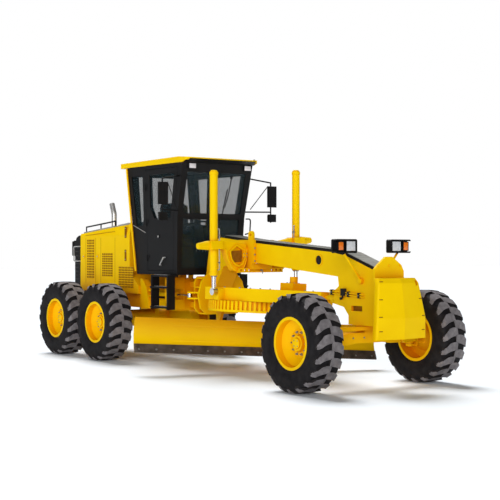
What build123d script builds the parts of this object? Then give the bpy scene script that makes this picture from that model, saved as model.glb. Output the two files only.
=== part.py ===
from build123d import *
import math
import os

# Motor grader, millimetres, +Z up, nose towards -Y, the machine's right side at -X.
# Pieces are drawn in station coordinates: Y is measured rearward from the beam's datum,
# which is 150 behind the front axle, and Z upward from the ground. save() moves every
# piece by DATUM_Y, which puts the origin in the middle of the machine's length.

# ---------------------------------------------------------------- driving dimensions
DATUM_Y = -3540               # place of the beam's datum in the part's frame
RUN = 0.05                    # radial running clearance of a pin in its bore
PIVOT_GAP = 5                 # side gap between moving plates

# wheels
TYRE_RADIUS = 667
TYRE_WIDTH = 445
BEAD_RADIUS = 330             # where the tyre sits on the rim
RIM_FLANGE_RADIUS = 356
RIM_HALF_WIDTH = 190
RIM_WALL = 14
WHEEL_X = 1075                # centre planes of the tandem wheels, either side
FRONT_WHEEL_X = 1130          # and of the front wheels
HUB_RADIUS = 105
SPINDLE_RADIUS = 50
TANDEM_Y = 6220               # middle of the tandem
TANDEM_SPACING = 1540
LUG_COUNT = 15                # lugs on each half of the tread
LUG_TOP = TYRE_RADIUS - 7      # flat tops, whose corners lie on the tyre's radius
LUG_DEPTH = 26
LUG_WIDTH = 90
LUG_SLANT = 22                # degrees, shoulder end forward at the top

# front axle, leaning brackets and knuckles, drawn with the axle at Y 0
AXLE_Y = -150
LEAN_X = 655                  # lean pivot, either side
KINGPIN_X = 845
AXLE_HALF_DEPTH = 95
AXLE_TOP_Z = 770
AXLE_BOTTOM_Z = 605
LEAN_EYE_RADIUS = 72
LEAN_BAR_RISE = 165           # lean bar above the lean pivots

# articulation
ARTIC_Y = 3950
ARTIC_PIN_RADIUS = 45
ARTIC_EAR_RADIUS = 140
ARTIC_LOW_Z = 880
ARTIC_HIGH_Z = 1440
ARTIC_EAR = 62                # thickness of one ear
ARTIC_CYL_X = 480             # steering of the frame: cylinder pins
ARTIC_CYL_FRONT_Y = 3620
ARTIC_CYL_REAR_Y = 4750
ARTIC_CYL_Z = 1170
ARTIC_CYL_PIN = 20

# front frame
BEAM_HALF_WIDTH = 160
FRAME_REAR_Y = 3600
NOSE_Y = -600                 # front end of the beam
# corners of the beam's top as (station, height)
BEAM_TOP = [(NOSE_Y, 1600), (90, 1830), (400, 1880), (2240, 2020), (3180, 2115)]
STRIP_START_Y = -545
STRIP_END_Y = 3100
STRIP_THICKNESS = 42

# drawbar, circle and blade
BALL_Y = 500
BALL_Z = 1240
BALL_RADIUS = 70
BLADE_SLOPE = 3.1             # right end higher, degrees
BLADE_YAW = 22                # right end to the rear, degrees
CIRCLE_Y = 2450
CIRCLE_RADIUS = 735
CIRCLE_TOP_Z = 1100
CIRCLE_BOTTOM_Z = 930
CIRCLE_LIP_Z = 1040           # underside of the ring's inner lip, which the shoes carry
CIRCLE_BORE = 610
TOOTH_COUNT = 64
TOOTH_DEPTH = 32
# guide shoes as (x, y) about the circle's centre
SHOES = ((-381, -450), (381, -450), (-475, 350), (475, 350))
DRAWBAR_TOP_Z = 1300
DRAWBAR_BOTTOM_Z = 1105
BLADE_LENGTH = 3900
BLADE_OFFSET = 45             # the blade stands shifted to the left by this

# blade lift
LIFT_X = 800
LIFT_Y = 2430
TRUNNION_Z = 1970             # right trunnion, before the saddle's roll
LIFT_EYE_Z = 1230
LIFT_EYE_HALF = 36
LIFT_EYE_GAP = 12
LIFT_BARREL_RADIUS = 62
LIFT_ROD_RADIUS = 32
LIFT_ROD_LENGTH = 1320
LIFT_BARREL_ABOVE = 1130
LIFT_BARREL_BELOW = 470
SADDLE_ROLL = 3.5             # left arm higher, degrees
SADDLE_PIVOT_Z = 1900

# rear hitch and ripper mounting face
TAIL_Y = 7600
HITCH_Y = 7990                # behind the louvre box, so the pin drops in from above
HITCH_LOW_Z = 960
HITCH_HIGH_Z = 1100
HITCH_PIN_RADIUS = 25
RIPPER_BOLT_X = 370
RIPPER_BOLT_Z = 1000
RIPPER_BOLT_RADIUS = 13

# engine hood
HOOD_HALF_WIDTH = 550
HOOD_FRONT_Y = 5490
HOOD_REAR_Y = 7370
HOOD_FRONT_Z = 2380
HOOD_REAR_Z = 2220
HOOD_BOTTOM_Z = 1150
PANEL = 25
EXHAUST_Y = 7050

# cab
CAB_HALF_TOP = 700
CAB_HALF_BOTTOM = 640
CAB_FLOOR_Z = 1500
CAB_TOP_Z = 3340
CAB_WALL = 60
GLASS = 8
ROOF_TOP_Z = 3435
DOOR_GAP = 6
HINGE_Y = 4693                # the door's hinge line
HINGE_OUT = 12                # hinge line outside the cab's face
HINGE_HEIGHTS = (1780, 2380, 2980)

os.makedirs("parts", exist_ok=True)


# ---------------------------------------------------------------- shaping helpers
def outline(points):
    return make_face(Polyline(*points, close=True))


def slab_x(points, x0, x1):
    """Outline of (station, height) points, extruded across the machine from x0 to x1."""
    return Pos(x0, 0, 0) * extrude(Plane.YZ * outline(points), x1 - x0)


def slab_y(points, y0, y1):
    """Outline of (x, height) points, extruded along the machine from y0 to y1."""
    return Pos(0, y1, 0) * extrude(Plane.XZ * outline(points), y1 - y0)


def slab_z(points, z0, z1):
    """Outline of (x, station) points, extruded upward from z0 to z1."""
    return Pos(0, 0, z0) * extrude(outline(points), z1 - z0)


def block(x0, x1, y0, y1, z0, z1):
    return Pos((x0 + x1) / 2, (y0 + y1) / 2, (z0 + z1) / 2) * Box(x1 - x0, y1 - y0, z1 - z0)


def bar(start, end, radius):
    """Round bar between two points."""
    a = Vector(*start)
    b = Vector(*end)
    plane = Plane(origin=a, z_dir=b - a)
    return extrude(plane * Circle(radius), (b - a).length)


def turned(points, axis):
    """Solid of revolution of (offset, radius) points about a row axis through the origin."""
    profile = make_face(Polyline(*points, close=True))
    solid = revolve(profile, Axis.X, 360)
    return Rot(0, 0, 90) * solid if axis == "Y" else solid


def mirrored(solid):
    return mirror(solid, Plane.YZ)


def both_sides(solid):
    return solid + mirrored(solid)


def save(node, shape):
    export_step(Pos(0, DATUM_Y, 0) * shape, f"parts/{node}.step")


# ---------------------------------------------------------------- wheels
def tyre():
    """Tyre about the X axis: a faceted carcass and slanted lugs, staggered side to side."""
    half = TYRE_WIDTH / 2
    left_end = Plane(origin=(-half, 0, 0), x_dir=(0, 1, 0), z_dir=(1, 0, 0))
    crown = RegularPolygon(TYRE_RADIUS - LUG_DEPTH, LUG_COUNT)
    bead = RegularPolygon(BEAD_RADIUS, LUG_COUNT, major_radius=False)
    carcass = extrude(left_end * (crown - bead), TYRE_WIDTH)
    for end in (0, -1):
        wall = carcass.faces().sort_by(Axis.X)[end]
        carcass = chamfer(wall.outer_wire().edges(), 108, 22, reference=wall)
        wall = carcass.faces().sort_by(Axis.X)[end]
        carcass = chamfer(wall.inner_wires()[0].edges(), 150, 62, reference=wall)
    lug = Rot(0, 0, -LUG_SLANT) * block(-130, 130, -LUG_WIDTH / 2, LUG_WIDTH / 2, 600, LUG_TOP)
    lug = Pos(110, 0, 0) * lug & block(0, 200, -300, 300, 600, LUG_TOP)
    pitch = 360 / LUG_COUNT
    other = Rot(pitch / 2, 0, 0) * mirrored(lug)
    pairs = [Rot(k * pitch, 0, 0) * piece for k in range(LUG_COUNT) for piece in (lug, other)]
    return carcass + Compound(children=pairs)


def rim():
    """Dished rim about the X axis; +X is the outer side, the hub bore runs through."""
    w = RIM_HALF_WIDTH
    r = BEAD_RADIUS - RUN
    f = RIM_FLANGE_RADIUS
    t = RIM_WALL
    bore = SPINDLE_RADIUS + RUN
    return turned([
        (w, f), (w - 18, f), (w - 18, r), (-w + 18, r), (-w + 18, f), (-w, f), (-w, r - t), (0, r - t),
        (5, 215), (-60, HUB_RADIUS), (-60, bore), (75, bore), (75, HUB_RADIUS), (30, HUB_RADIUS + 12),
        (25, 190), (95, r - t - 8), (w, r - t),
    ], "X")


tyre_shape = tyre()
rim_shape = rim()
wheel_rows = (
    ("front", FRONT_WHEEL_X, AXLE_Y),
    ("mid", WHEEL_X, TANDEM_Y - TANDEM_SPACING / 2),
    ("rear", WHEEL_X, TANDEM_Y + TANDEM_SPACING / 2),
)
for row, x, y in wheel_rows:
    for name, shape in (("tyre", tyre_shape), ("rim", rim_shape)):
        save(f"{name}_{row}_left", Pos(x, y, TYRE_RADIUS) * shape)
        save(f"{name}_{row}_right", Pos(-x, y, TYRE_RADIUS) * mirrored(shape))


# ---------------------------------------------------------------- front axle
def front_axle():
    """Arched box beam with a lean-pivot boss at each end and the oscillation pivot on top."""
    z = TYRE_RADIUS
    arch = slab_y([
        (-LEAN_X + 40, z + 62), (-LEAN_X + 40, z - 62), (-400, AXLE_BOTTOM_Z), (-250, AXLE_BOTTOM_Z + 20),
        (250, AXLE_BOTTOM_Z + 20), (400, AXLE_BOTTOM_Z), (LEAN_X - 40, z - 62), (LEAN_X - 40, z + 62),
        (360, AXLE_TOP_Z), (-360, AXLE_TOP_Z),
    ], -AXLE_HALF_DEPTH, AXLE_HALF_DEPTH)
    boss = bar((LEAN_X, -AXLE_HALF_DEPTH, z), (LEAN_X, AXLE_HALF_DEPTH, z), LEAN_EYE_RADIUS)
    pin_hole = bar((LEAN_X, -200, z), (LEAN_X, 200, z), 30 + RUN)
    pivot = block(-90, 90, -AXLE_HALF_DEPTH, AXLE_HALF_DEPTH, AXLE_TOP_Z - 20, 870)
    return arch + both_sides(boss) + pivot - both_sides(pin_hole)


def lean_bracket():
    """Left bracket: two ears on the lean pin, a web, the kingpin boss and the lean bar's arm."""
    z = TYRE_RADIUS
    inner = AXLE_HALF_DEPTH + PIVOT_GAP
    outer = inner + 30
    ears = None
    for y0, y1 in ((-outer, -inner), (inner, outer)):
        ear = bar((LEAN_X, y0, z), (LEAN_X, y1, z), LEAN_EYE_RADIUS)
        ear = ear + block(LEAN_X, KINGPIN_X, y0, y1, z - 60, z + 60)
        ears = ear if ears is None else ears + ear
    web = block(LEAN_X + LEAN_EYE_RADIUS + 12, KINGPIN_X, -outer, outer, z - 60, z + 60)
    boss = Pos(KINGPIN_X, 0, z) * Cylinder(58, 190)
    arm = slab_y([
        (LEAN_X - 34, z + LEAN_BAR_RISE), (LEAN_X + 34, z + LEAN_BAR_RISE), (KINGPIN_X - 20, z + 50),
        (LEAN_X - 10, z + 20),
    ], -outer, -inner)
    eye = bar((LEAN_X, -outer, z + LEAN_BAR_RISE), (LEAN_X, -inner, z + LEAN_BAR_RISE), 42)
    pin = bar((LEAN_X, -outer - 8, z), (LEAN_X, outer + 8, z), 30)
    bar_pin = bar((LEAN_X, -outer - 40, z + LEAN_BAR_RISE), (LEAN_X, -inner, z + LEAN_BAR_RISE), 18)
    bore = Pos(KINGPIN_X, 0, z) * Cylinder(28 + RUN, 300)
    return ears + web + boss + arm + eye + pin + bar_pin - bore


def knuckle():
    """Left knuckle: fork round the kingpin boss, kingpin, spindle and steering arm."""
    z = TYRE_RADIUS
    low = 95 + PIVOT_GAP
    high = low + 32
    fork = None
    for z0, z1 in ((z - high, z - low), (z + low, z + high)):
        plate = block(KINGPIN_X - 10, KINGPIN_X + 95, -55, 55, z0, z1)
        plate = plate + Pos(KINGPIN_X, 0, (z0 + z1) / 2) * Cylinder(55, z1 - z0)
        fork = plate if fork is None else fork + plate
    back = block(KINGPIN_X + 72, KINGPIN_X + 102, -70, 70, z - high, z + high)
    kingpin = Pos(KINGPIN_X, 0, z) * Cylinder(28, 2 * high + 16)
    spindle = bar((KINGPIN_X + 90, 0, z), (FRONT_WHEEL_X + 85, 0, z), SPINDLE_RADIUS)
    return fork + back + kingpin + spindle


def lean_bar():
    """Bar that ties the two leaning brackets together in front of the axle."""
    z = TYRE_RADIUS + LEAN_BAR_RISE
    y0 = -(AXLE_HALF_DEPTH + PIVOT_GAP + 30) - PIVOT_GAP - 30
    y1 = y0 + 30
    ends = bar((LEAN_X, y0, z), (LEAN_X, y1, z), 40)
    tight = bar((-LEAN_X, y0 - 5, z), (-LEAN_X, y1 + 5, z), 18 + RUN)
    free = bar((LEAN_X, y0 - 5, z), (LEAN_X, y1 + 5, z), 18 + 4)
    return block(-LEAN_X, LEAN_X, y0, y1, z - 26, z + 26) + both_sides(ends) - tight - free


axle_place = Pos(0, AXLE_Y, 0)
save("front_axle", axle_place * front_axle())
save("lean_bar", axle_place * lean_bar())
for name, shape in (("lean_bracket", lean_bracket()), ("steering_knuckle", knuckle())):
    save(f"{name}_left", axle_place * shape)
    save(f"{name}_right", axle_place * mirrored(shape))


# ---------------------------------------------------------------- front frame
def gooseneck():
    """Arched beam from the axle head to the rear leg, then the wings and ears of the hinge."""
    b = BEAM_HALF_WIDTH
    arch = slab_x([
        *BEAM_TOP, (3430, 2060), (3540, 1900), (FRAME_REAR_Y, 1600),
        (FRAME_REAR_Y, 900), (3400, 900), (3330, 1300), (3120, 1640), (2800, 1740), (2060, 1700),
        (1110, 1610),
        (250, 1535), (230, 1400), (330, 1330), (330, 1150), (120, 1110), (20, 1000), (20, 870),
        (NOSE_Y, 870),
    ], -b, b)
    beam_hole = bar((-b - 10, 670, 1765), (b + 10, 670, 1765), 68)
    socket = bar((0, 300, BALL_Z), (0, BALL_Y + 5, BALL_Z), BALL_RADIUS + 32)
    ball_space = Pos(0, BALL_Y, BALL_Z) * Sphere(BALL_RADIUS + 0.3)
    head_window = block(-b - 10, b + 10, -270, -40, 1062, 1135)
    wing = slab_y([
        (0, 860), (300, 860), (420, 960), (465, 1180), (400, 1400), (330, 1480), (230, 1560), (0, 1640),
    ], 3380, 3420)
    wing = wing + slab_y([(0, 860), (300, 860), (390, 960), (390, 1400), (330, 1480), (0, 1480)],
                         FRAME_REAR_Y, FRAME_REAR_Y + 40)
    for z0, z1, reach in ((1440, 1465, 350), (1290, 1315, 390), (860, 885, 300)):
        wing = wing + block(0, reach, 3380, FRAME_REAR_Y + 40, z0, z1)
    ears = None
    for z0 in (ARTIC_LOW_Z, ARTIC_HIGH_Z - ARTIC_EAR):
        ear = slab_z([
            (-230, FRAME_REAR_Y - 60), (230, FRAME_REAR_Y - 60), (ARTIC_EAR_RADIUS, ARTIC_Y),
            (-ARTIC_EAR_RADIUS, ARTIC_Y),
        ], z0, z0 + ARTIC_EAR)
        ear = ear + Pos(0, ARTIC_Y, z0 + ARTIC_EAR / 2) * Cylinder(ARTIC_EAR_RADIUS, ARTIC_EAR)
        ears = ear if ears is None else ears + ear
    bores = Pos(0, ARTIC_Y, 1200) * Cylinder(ARTIC_PIN_RADIUS + RUN, 800)
    lugs = None
    for z0 in (ARTIC_CYL_Z - 30 - PIVOT_GAP - 25, ARTIC_CYL_Z + 30 + PIVOT_GAP):
        lug = slab_z([
            (300, 3410), (430, 3410), (ARTIC_CYL_X + 40, 3600), (ARTIC_CYL_X - 40, 3640), (300, 3640),
        ], z0, z0 + 25)
        lug = lug + Pos(ARTIC_CYL_X, ARTIC_CYL_FRONT_Y, z0 + 12.5) * Cylinder(45, 25)
        lugs = lug if lugs is None else lugs + lug
    frame = arch - beam_hole - head_window + socket - ball_space
    return frame + both_sides(wing) + both_sides(lugs) + ears - bores


save("gooseneck", gooseneck())


def beam_top(y):
    """Height of the beam's top at a station."""
    for (y0, z0), (y1, z1) in zip(BEAM_TOP, BEAM_TOP[1:]):
        if y0 <= y <= y1:
            return z0 + (z1 - z0) * (y - y0) / (y1 - y0)


def tread_strip():
    """Non-slip cover along the top of the beam."""
    b = BEAM_HALF_WIDTH - 12
    stations = [STRIP_START_Y] + [y for y, z in BEAM_TOP[1:-1]] + [STRIP_END_Y]
    top = [(y, beam_top(y)) for y in stations]
    raised = [(y, z + STRIP_THICKNESS) for y, z in reversed(top)]
    return slab_x(top + raised, -b, b)


save("tread_strip", tread_strip())


def arm_at(side):
    """Turn an arm drawn for the left side about its pivot by the saddle's roll."""
    pivot = Pos(side * 260, 0, SADDLE_PIVOT_Z)
    return pivot * Rot(0, -SADDLE_ROLL, 0) * Pos(-side * 260, 0, -SADDLE_PIVOT_Z)


def lift_arm():
    """Left bell-crank arm: pivot hub, U-shaped lobe with its pocket, yoke and outboard boss."""
    y0 = LIFT_Y - 55
    y1 = LIFT_Y + 55
    z = TRUNNION_Z + 50
    web = slab_y([
        (225, 1990), (225, 1760), (300, 1610), (400, 1560), (500, 1610), (585, 1760), (640, z - 90),
        (LIFT_X - 90, z - 65), (LIFT_X - 90, z + 65), (420, z + 20),
    ], y0, y1)
    edge = outline([
        (290, 1900), (290, 1790), (335, 1710), (400, 1682), (465, 1710), (520, 1790), (540, 1900),
        (420, 1980),
    ])
    rib = Pos(0, y0, 0) * extrude(Plane.XZ * offset(edge, 24, kind=Kind.INTERSECTION), 22)
    pocket = Pos(0, LIFT_Y - 25, 0) * extrude(Plane.XZ * edge, 60)
    yoke = block(LIFT_X - 105, LIFT_X + 105, LIFT_Y - 105, LIFT_Y + 105, z - 65, z + 65)
    room = LIFT_BARREL_RADIUS + 20
    barrel_space = block(LIFT_X - room, LIFT_X + room, LIFT_Y - room, LIFT_Y + room, z - 150, z + 150)
    boss = Pos(LIFT_X + 105 + 95, LIFT_Y, z) * Rot(0, 90, 0) * Cone(72, 46, 190)
    trunnion_bore = bar((LIFT_X - 110, LIFT_Y, z), (LIFT_X + 110, LIFT_Y, z), 24 + RUN)
    return web + rib - pocket + yoke + boss - barrel_space - trunnion_bore


def lift_arms():
    """Both arms at the saddle's roll, each with its hub seated on the strap."""
    hub = bar((BEAM_HALF_WIDTH + 40, LIFT_Y, SADDLE_PIVOT_Z), (300, LIFT_Y, SADDLE_PIVOT_Z), 60)
    left = arm_at(1) * lift_arm() + hub
    right = arm_at(-1) * mirrored(lift_arm()) + mirrored(hub)
    return left + right


def saddle():
    """Straps and cradle round the beam, and the perforated lock bar in front of the arms."""
    b = BEAM_HALF_WIDTH
    z0 = 1545
    strap = block(b, b + 40, LIFT_Y - 210, LIFT_Y + 210, 1700, 2070)
    cradle = block(-b - 40, b + 40, LIFT_Y - 150, LIFT_Y + 150, 1610, 1700)
    lock = block(-430, 430, LIFT_Y - 55 - 40, LIFT_Y - 55, z0 + 15, z0 + 85)
    for x in (-380, -300, -220, 220, 300, 380):
        lock = lock - bar((x, LIFT_Y - 100, z0 + 50), (x, LIFT_Y - 50, z0 + 50), 20)
    eye = block(-b - 40, -b, 2250, 2370, 2060, 2150) + bar((-b - 40, 2310, 2150), (-b, 2310, 2150), 60)
    eye = eye - bar((-b - 50, 2310, 2150), (-b + 10, 2310, 2150), 24)
    return both_sides(strap) + cradle + Pos(24, 0, 0) * lock + eye


save("lift_saddle", saddle())
save("lift_arms", lift_arms())


def block_plan(half, nose, z):
    """Plan of the push block at a height: tapered to the beam, a shallow V in front."""
    back = NOSE_Y - 40
    points = [
        (-250, back), (250, back), (half, nose + 135), (half, nose + 55), (0, nose), (-half, nose + 55),
        (-half, nose + 135),
    ]
    return Pos(0, 0, z) * make_face(FilletPolyline(*points, radius=35, close=True))


def push_block():
    """Front counterweight lofted through four plans, and the peaked plate that bolts it to the beam."""
    plans = ((456, -940, 715), (446, -950, 1000), (372, -890, 1465), (350, -845, 1530))
    weight = loft([block_plan(half, nose, z) for half, nose, z in plans], ruled=True)
    peak = FilletPolyline((-262, 880), (-262, 1650), (-205, 1705), (-60, 1818), (60, 1818), (225, 1705),
                          (272, 1620), (272, 880), radius=28, close=True)
    plate = Pos(0, NOSE_Y, 0) * extrude(Plane.XZ * make_face(peak), 40)
    tow_notch = block(290, 330, -1000, -800, 1430, 1495)
    return weight + plate - tow_notch


save("push_block", push_block())


def headlamps():
    """Two rounded lamp housings, open in front and at the outer end, on stalks from the beam's sides."""
    housing = Pos(500, -290, 1962) * Box(380, 100, 190)
    housing = fillet(housing.edges().filter_by(Axis.Y), 26)
    hollow = Pos(500, -320, 1962) * Box(352, 60, 160)
    hollow = fillet(hollow.edges().filter_by(Axis.Y), 14)
    lens = Pos(420, -312, 1962) * Box(170, 44, 146)
    lens = fillet(lens.edges().filter_by(Axis.Y), 20)
    indicator = Pos(595, -312, 1962) * Box(96, 44, 120)
    indicator = fillet(indicator.edges().filter_by(Axis.Y), 16)
    open_end = block(660, 700, -345, -268, 1890, 2034)
    stalk = bar((500, -270, 1872), (BEAM_HALF_WIDTH + 14, -262, 1480), 15)
    foot = bar((BEAM_HALF_WIDTH, -262, 1480), (BEAM_HALF_WIDTH + 24, -262, 1480), 36)
    return both_sides(housing - hollow - open_end + lens + indicator + stalk + foot)


save("headlamps", headlamps())


# ---------------------------------------------------------------- blade lift cylinders
def rolled(x, z):
    """Point of the blade group after its slope about the drawbar's ball."""
    a = math.radians(BLADE_SLOPE)
    dz = z - BALL_Z
    return x * math.cos(a) + dz * math.sin(a), BALL_Z - x * math.sin(a) + dz * math.cos(a)


def trunnion_point(side):
    a = math.radians(-SADDLE_ROLL)
    dx = side * (LIFT_X - 260)
    dz = TRUNNION_Z + 50 - SADDLE_PIVOT_Z
    x = side * 260 + dx * math.cos(a) + dz * math.sin(a)
    return x, SADDLE_PIVOT_Z - dx * math.sin(a) + dz * math.cos(a)


def lift_barrel(side):
    """Barrel hung in the yoke on two trunnions that share the arm's roll."""
    a = math.radians(-SADDLE_ROLL)
    x, z = trunnion_point(side)
    tube = bar((x, LIFT_Y, z - LIFT_BARREL_BELOW), (x, LIFT_Y, z + LIFT_BARREL_ABOVE), LIFT_BARREL_RADIUS)
    bore = bar((x, LIFT_Y, z - LIFT_BARREL_BELOW + 40), (x, LIFT_Y, z + LIFT_BARREL_ABOVE - 30), 50)
    gland = bar((x, LIFT_Y, z - LIFT_BARREL_BELOW - 5), (x, LIFT_Y, z - LIFT_BARREL_BELOW + 60),
                LIFT_ROD_RADIUS + RUN)
    dx = 100 * math.cos(a)
    dz = -100 * math.sin(a)
    pins = bar((x - dx, LIFT_Y, z - dz), (x + dx, LIFT_Y, z + dz), 24)
    return tube + pins - bore - gland


def lift_rod(side):
    x, z = trunnion_point(side)
    eye_z = rolled(side * LIFT_X, LIFT_EYE_Z)[1]
    eye = bar((x - LIFT_EYE_HALF, LIFT_Y, eye_z), (x + LIFT_EYE_HALF, LIFT_Y, eye_z), 55)
    rod = bar((x, LIFT_Y, eye_z + 20), (x, LIFT_Y, eye_z + LIFT_ROD_LENGTH), LIFT_ROD_RADIUS)
    piston = bar((x, LIFT_Y, eye_z + LIFT_ROD_LENGTH - 60), (x, LIFT_Y, eye_z + LIFT_ROD_LENGTH), 50 - RUN)
    return eye + rod + piston


for side, sign in (("left", 1), ("right", -1)):
    save(f"lift_barrel_{side}", lift_barrel(sign))
    save(f"lift_rod_{side}", lift_rod(sign))


# ---------------------------------------------------------------- drawbar, circle and blade
drawbar_slope = Pos(0, 0, BALL_Z) * Rot(0, BLADE_SLOPE, 0) * Pos(0, 0, -BALL_Z)
circle_place = drawbar_slope * Pos(0, CIRCLE_Y, 0)
blade_place = circle_place * Rot(0, 0, -BLADE_YAW)


def drawbar():
    """A-frame from the ball to the two rear corners with their lift lugs, and the circle drive."""
    low = DRAWBAR_BOTTOM_Z
    high = DRAWBAR_TOP_Z
    ball = Pos(0, BALL_Y, BALL_Z) * Sphere(BALL_RADIUS)
    neck = bar((0, BALL_Y, BALL_Z), (0, BALL_Y + 230, BALL_Z - 20), 42)
    outer = slab_z([(-110, 680), (110, 680), (680, 2500), (680, 2860), (-680, 2860), (-680, 2500)], low,
                   high)
    window = slab_z([(-150, 1750), (150, 1750), (430, 2620), (-430, 2620)], low - 5, high + 5)
    lugs = None
    for side in (1, -1):
        reach = side * (abs(trunnion_point(side)[0]) - LIFT_EYE_HALF - LIFT_EYE_GAP)
        lug = block(min(side * 560, reach), max(side * 560, reach), LIFT_Y - 60, LIFT_Y + 60, low,
                    LIFT_EYE_Z)
        lug = lug + bar((side * 560, LIFT_Y, LIFT_EYE_Z), (reach, LIFT_Y, LIFT_EYE_Z), 58)
        lugs = lug if lugs is None else lugs + lug
    shoes = None
    for x, y in SHOES:
        shoe = block(575, 605, -45, 45, CIRCLE_LIP_Z - 40, low + 20)
        shoe = shoe + block(575, 650, -45, 45, CIRCLE_LIP_Z - 40, CIRCLE_LIP_Z - RUN)
        placed = Pos(0, CIRCLE_Y, 0) * Rot(0, 0, math.degrees(math.atan2(y, x))) * shoe
        shoes = placed if shoes is None else shoes + placed
    gearbox = block(-130, 130, 1330, 1640, high, high + 110)
    motor = Pos(0, 1480, high + 150) * Cylinder(62, 110)
    return ball + neck + outer - window + lugs + shoes + gearbox + motor


def circle():
    """Ring gear with its inner lip, and the two blade arms hanging from it."""
    height = CIRCLE_TOP_Z - CIRCLE_BOTTOM_Z
    ring = Pos(0, 0, CIRCLE_BOTTOM_Z + height / 2) * Cylinder(CIRCLE_RADIUS, height)
    root = CIRCLE_RADIUS - TOOTH_DEPTH
    gap = slab_z([(root, -10), (root, 10), (CIRCLE_RADIUS + 10, 19), (CIRCLE_RADIUS + 10, -19)],
                 CIRCLE_BOTTOM_Z + 35, CIRCLE_TOP_Z + 5)
    gaps = Compound(children=[Rot(0, 0, k * 360 / TOOTH_COUNT) * gap for k in range(TOOTH_COUNT)])
    hole = Pos(0, 0, CIRCLE_TOP_Z) * Cylinder(CIRCLE_BORE, 400)
    relief = Pos(0, 0, (CIRCLE_LIP_Z + 880) / 2) * Cylinder(CIRCLE_BORE + 50, CIRCLE_LIP_Z - 880)
    arm = slab_x([
        (90, CIRCLE_BOTTOM_Z + 30), (560, CIRCLE_BOTTOM_Z + 30), (520, 850), (290, 480), (215, 375),
        (110, 375),
        (100, 460), (185, 520), (240, 760), (100, 900),
    ], 470, 510)
    hinge_bore = bar((400, 150, 430), (600, 150, 430), 30 + RUN)
    return ring - gaps - hole - relief + both_sides(arm) - both_sides(hinge_bore)


def blade_carriage():
    """Tip bracket pinned to the circle's arms: two jaws for the blade's rails and the shift barrel."""
    jaw = slab_x([
        (30, 480), (30, 400), (100, 370), (190, 380), (190, 480), (150, 640), (100, 760), (30, 760),
        (30, 690),
    ], 515, 575)
    jaw = jaw + bar((465, 150, 430), (515, 150, 430), 30)
    tie = block(-515, 515, 30, 80, 465, 520)
    barrel = bar((-700, 85, 580), (450, 85, 580), 45)
    bore = bar((-670, 85, 580), (410, 85, 580), 35)
    gland = bar((400, 85, 580), (460, 85, 580), 22 + RUN)
    rod_path = bar((500, 85, 580), (600, 85, 580), 32)
    return both_sides(jaw) + tie + barrel - bore - gland - rod_path


def moldboard():
    """Concave blade, straight at its foot, with its two guide rails and the shift rod's lug."""
    front = Polyline((-150, 300), (-95, 375)) + ThreePointArc((-95, 375), (-30, 575), (-110, 790))
    back = Polyline((-110, 790), (-88, 790)) + ThreePointArc((-88, 790), (-8, 575), (-75, 365))
    foot = Polyline((-75, 365), (-132, 287), (-150, 300))
    plate = Pos(BLADE_OFFSET, 0, 0) * extrude(Plane.YZ * make_face(front + back + foot), BLADE_LENGTH / 2,
                                              both=True)
    rails = block(-1300, 1300, -50, 25, 668, 712) + block(-1300, 1300, -60, 25, 408, 452)
    lug = block(1150, 1190, -30, 125, 540, 620)
    return plate + rails + lug


def shift_rod():
    """Rod of the blade's side-shift cylinder, seated on the blade's lug."""
    rod = bar((-150, 85, 580), (1150, 85, 580), 22)
    piston = bar((-150, 85, 580), (-110, 85, 580), 35 - RUN)
    return rod + piston


save("drawbar", drawbar_slope * drawbar())
save("circle", blade_place * circle())
save("blade_carriage", blade_place * blade_carriage())
save("moldboard", blade_place * moldboard())
save("blade_shift_rod", blade_place * shift_rod())


def cutting_edge():
    """Hard strip bolted flat along the foot of the blade's face."""
    section = [(-186.7, 250), (-95, 375), (-110.3, 386.2), (-202, 261.2)]
    return slab_x(section, BLADE_OFFSET - BLADE_LENGTH / 2, BLADE_OFFSET + BLADE_LENGTH / 2)


save("cutting_edge", blade_place * cutting_edge())


# ---------------------------------------------------------------- rear frame and tandems
def hinge_yoke():
    """Cross box, hinge tongue between the front frame's ears, open bulkhead and front cab mounts."""
    cross = block(-335, 335, 4105, 4300, 895, 1430) + block(-420, 420, 4105, 4300, 895, ARTIC_CYL_Z - 120)
    tongue = None
    low = ARTIC_LOW_Z + ARTIC_EAR + PIVOT_GAP
    high = ARTIC_HIGH_Z - ARTIC_EAR - PIVOT_GAP
    for z0, z1 in ((low, low + 90), (high - 90, high)):
        link = slab_z([(-116, ARTIC_Y), (116, ARTIC_Y), (170, 4120), (-170, 4120)], z0, z1)
        link = link + Pos(0, ARTIC_Y, (z0 + z1) / 2) * Cylinder(120, z1 - z0)
        tongue = link if tongue is None else tongue + link
    bulkhead = slab_y([(300, 920), (650, 920), (660, 1440), (300, 1460)], 4060, 4110)
    bulkhead = bulkhead - block(325, 630, 4050, 4120, ARTIC_CYL_Z - 90, ARTIC_CYL_Z + 90)
    mount = block(235, 335, 4130, 4270, 1400, CAB_FLOOR_Z)
    pin = Pos(0, ARTIC_Y, (ARTIC_LOW_Z + ARTIC_HIGH_Z) / 2) * Cylinder(ARTIC_PIN_RADIUS, ARTIC_HIGH_Z
                                                                       - ARTIC_LOW_Z + 10)
    return cross + tongue + both_sides(bulkhead + mount) + pin


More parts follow.
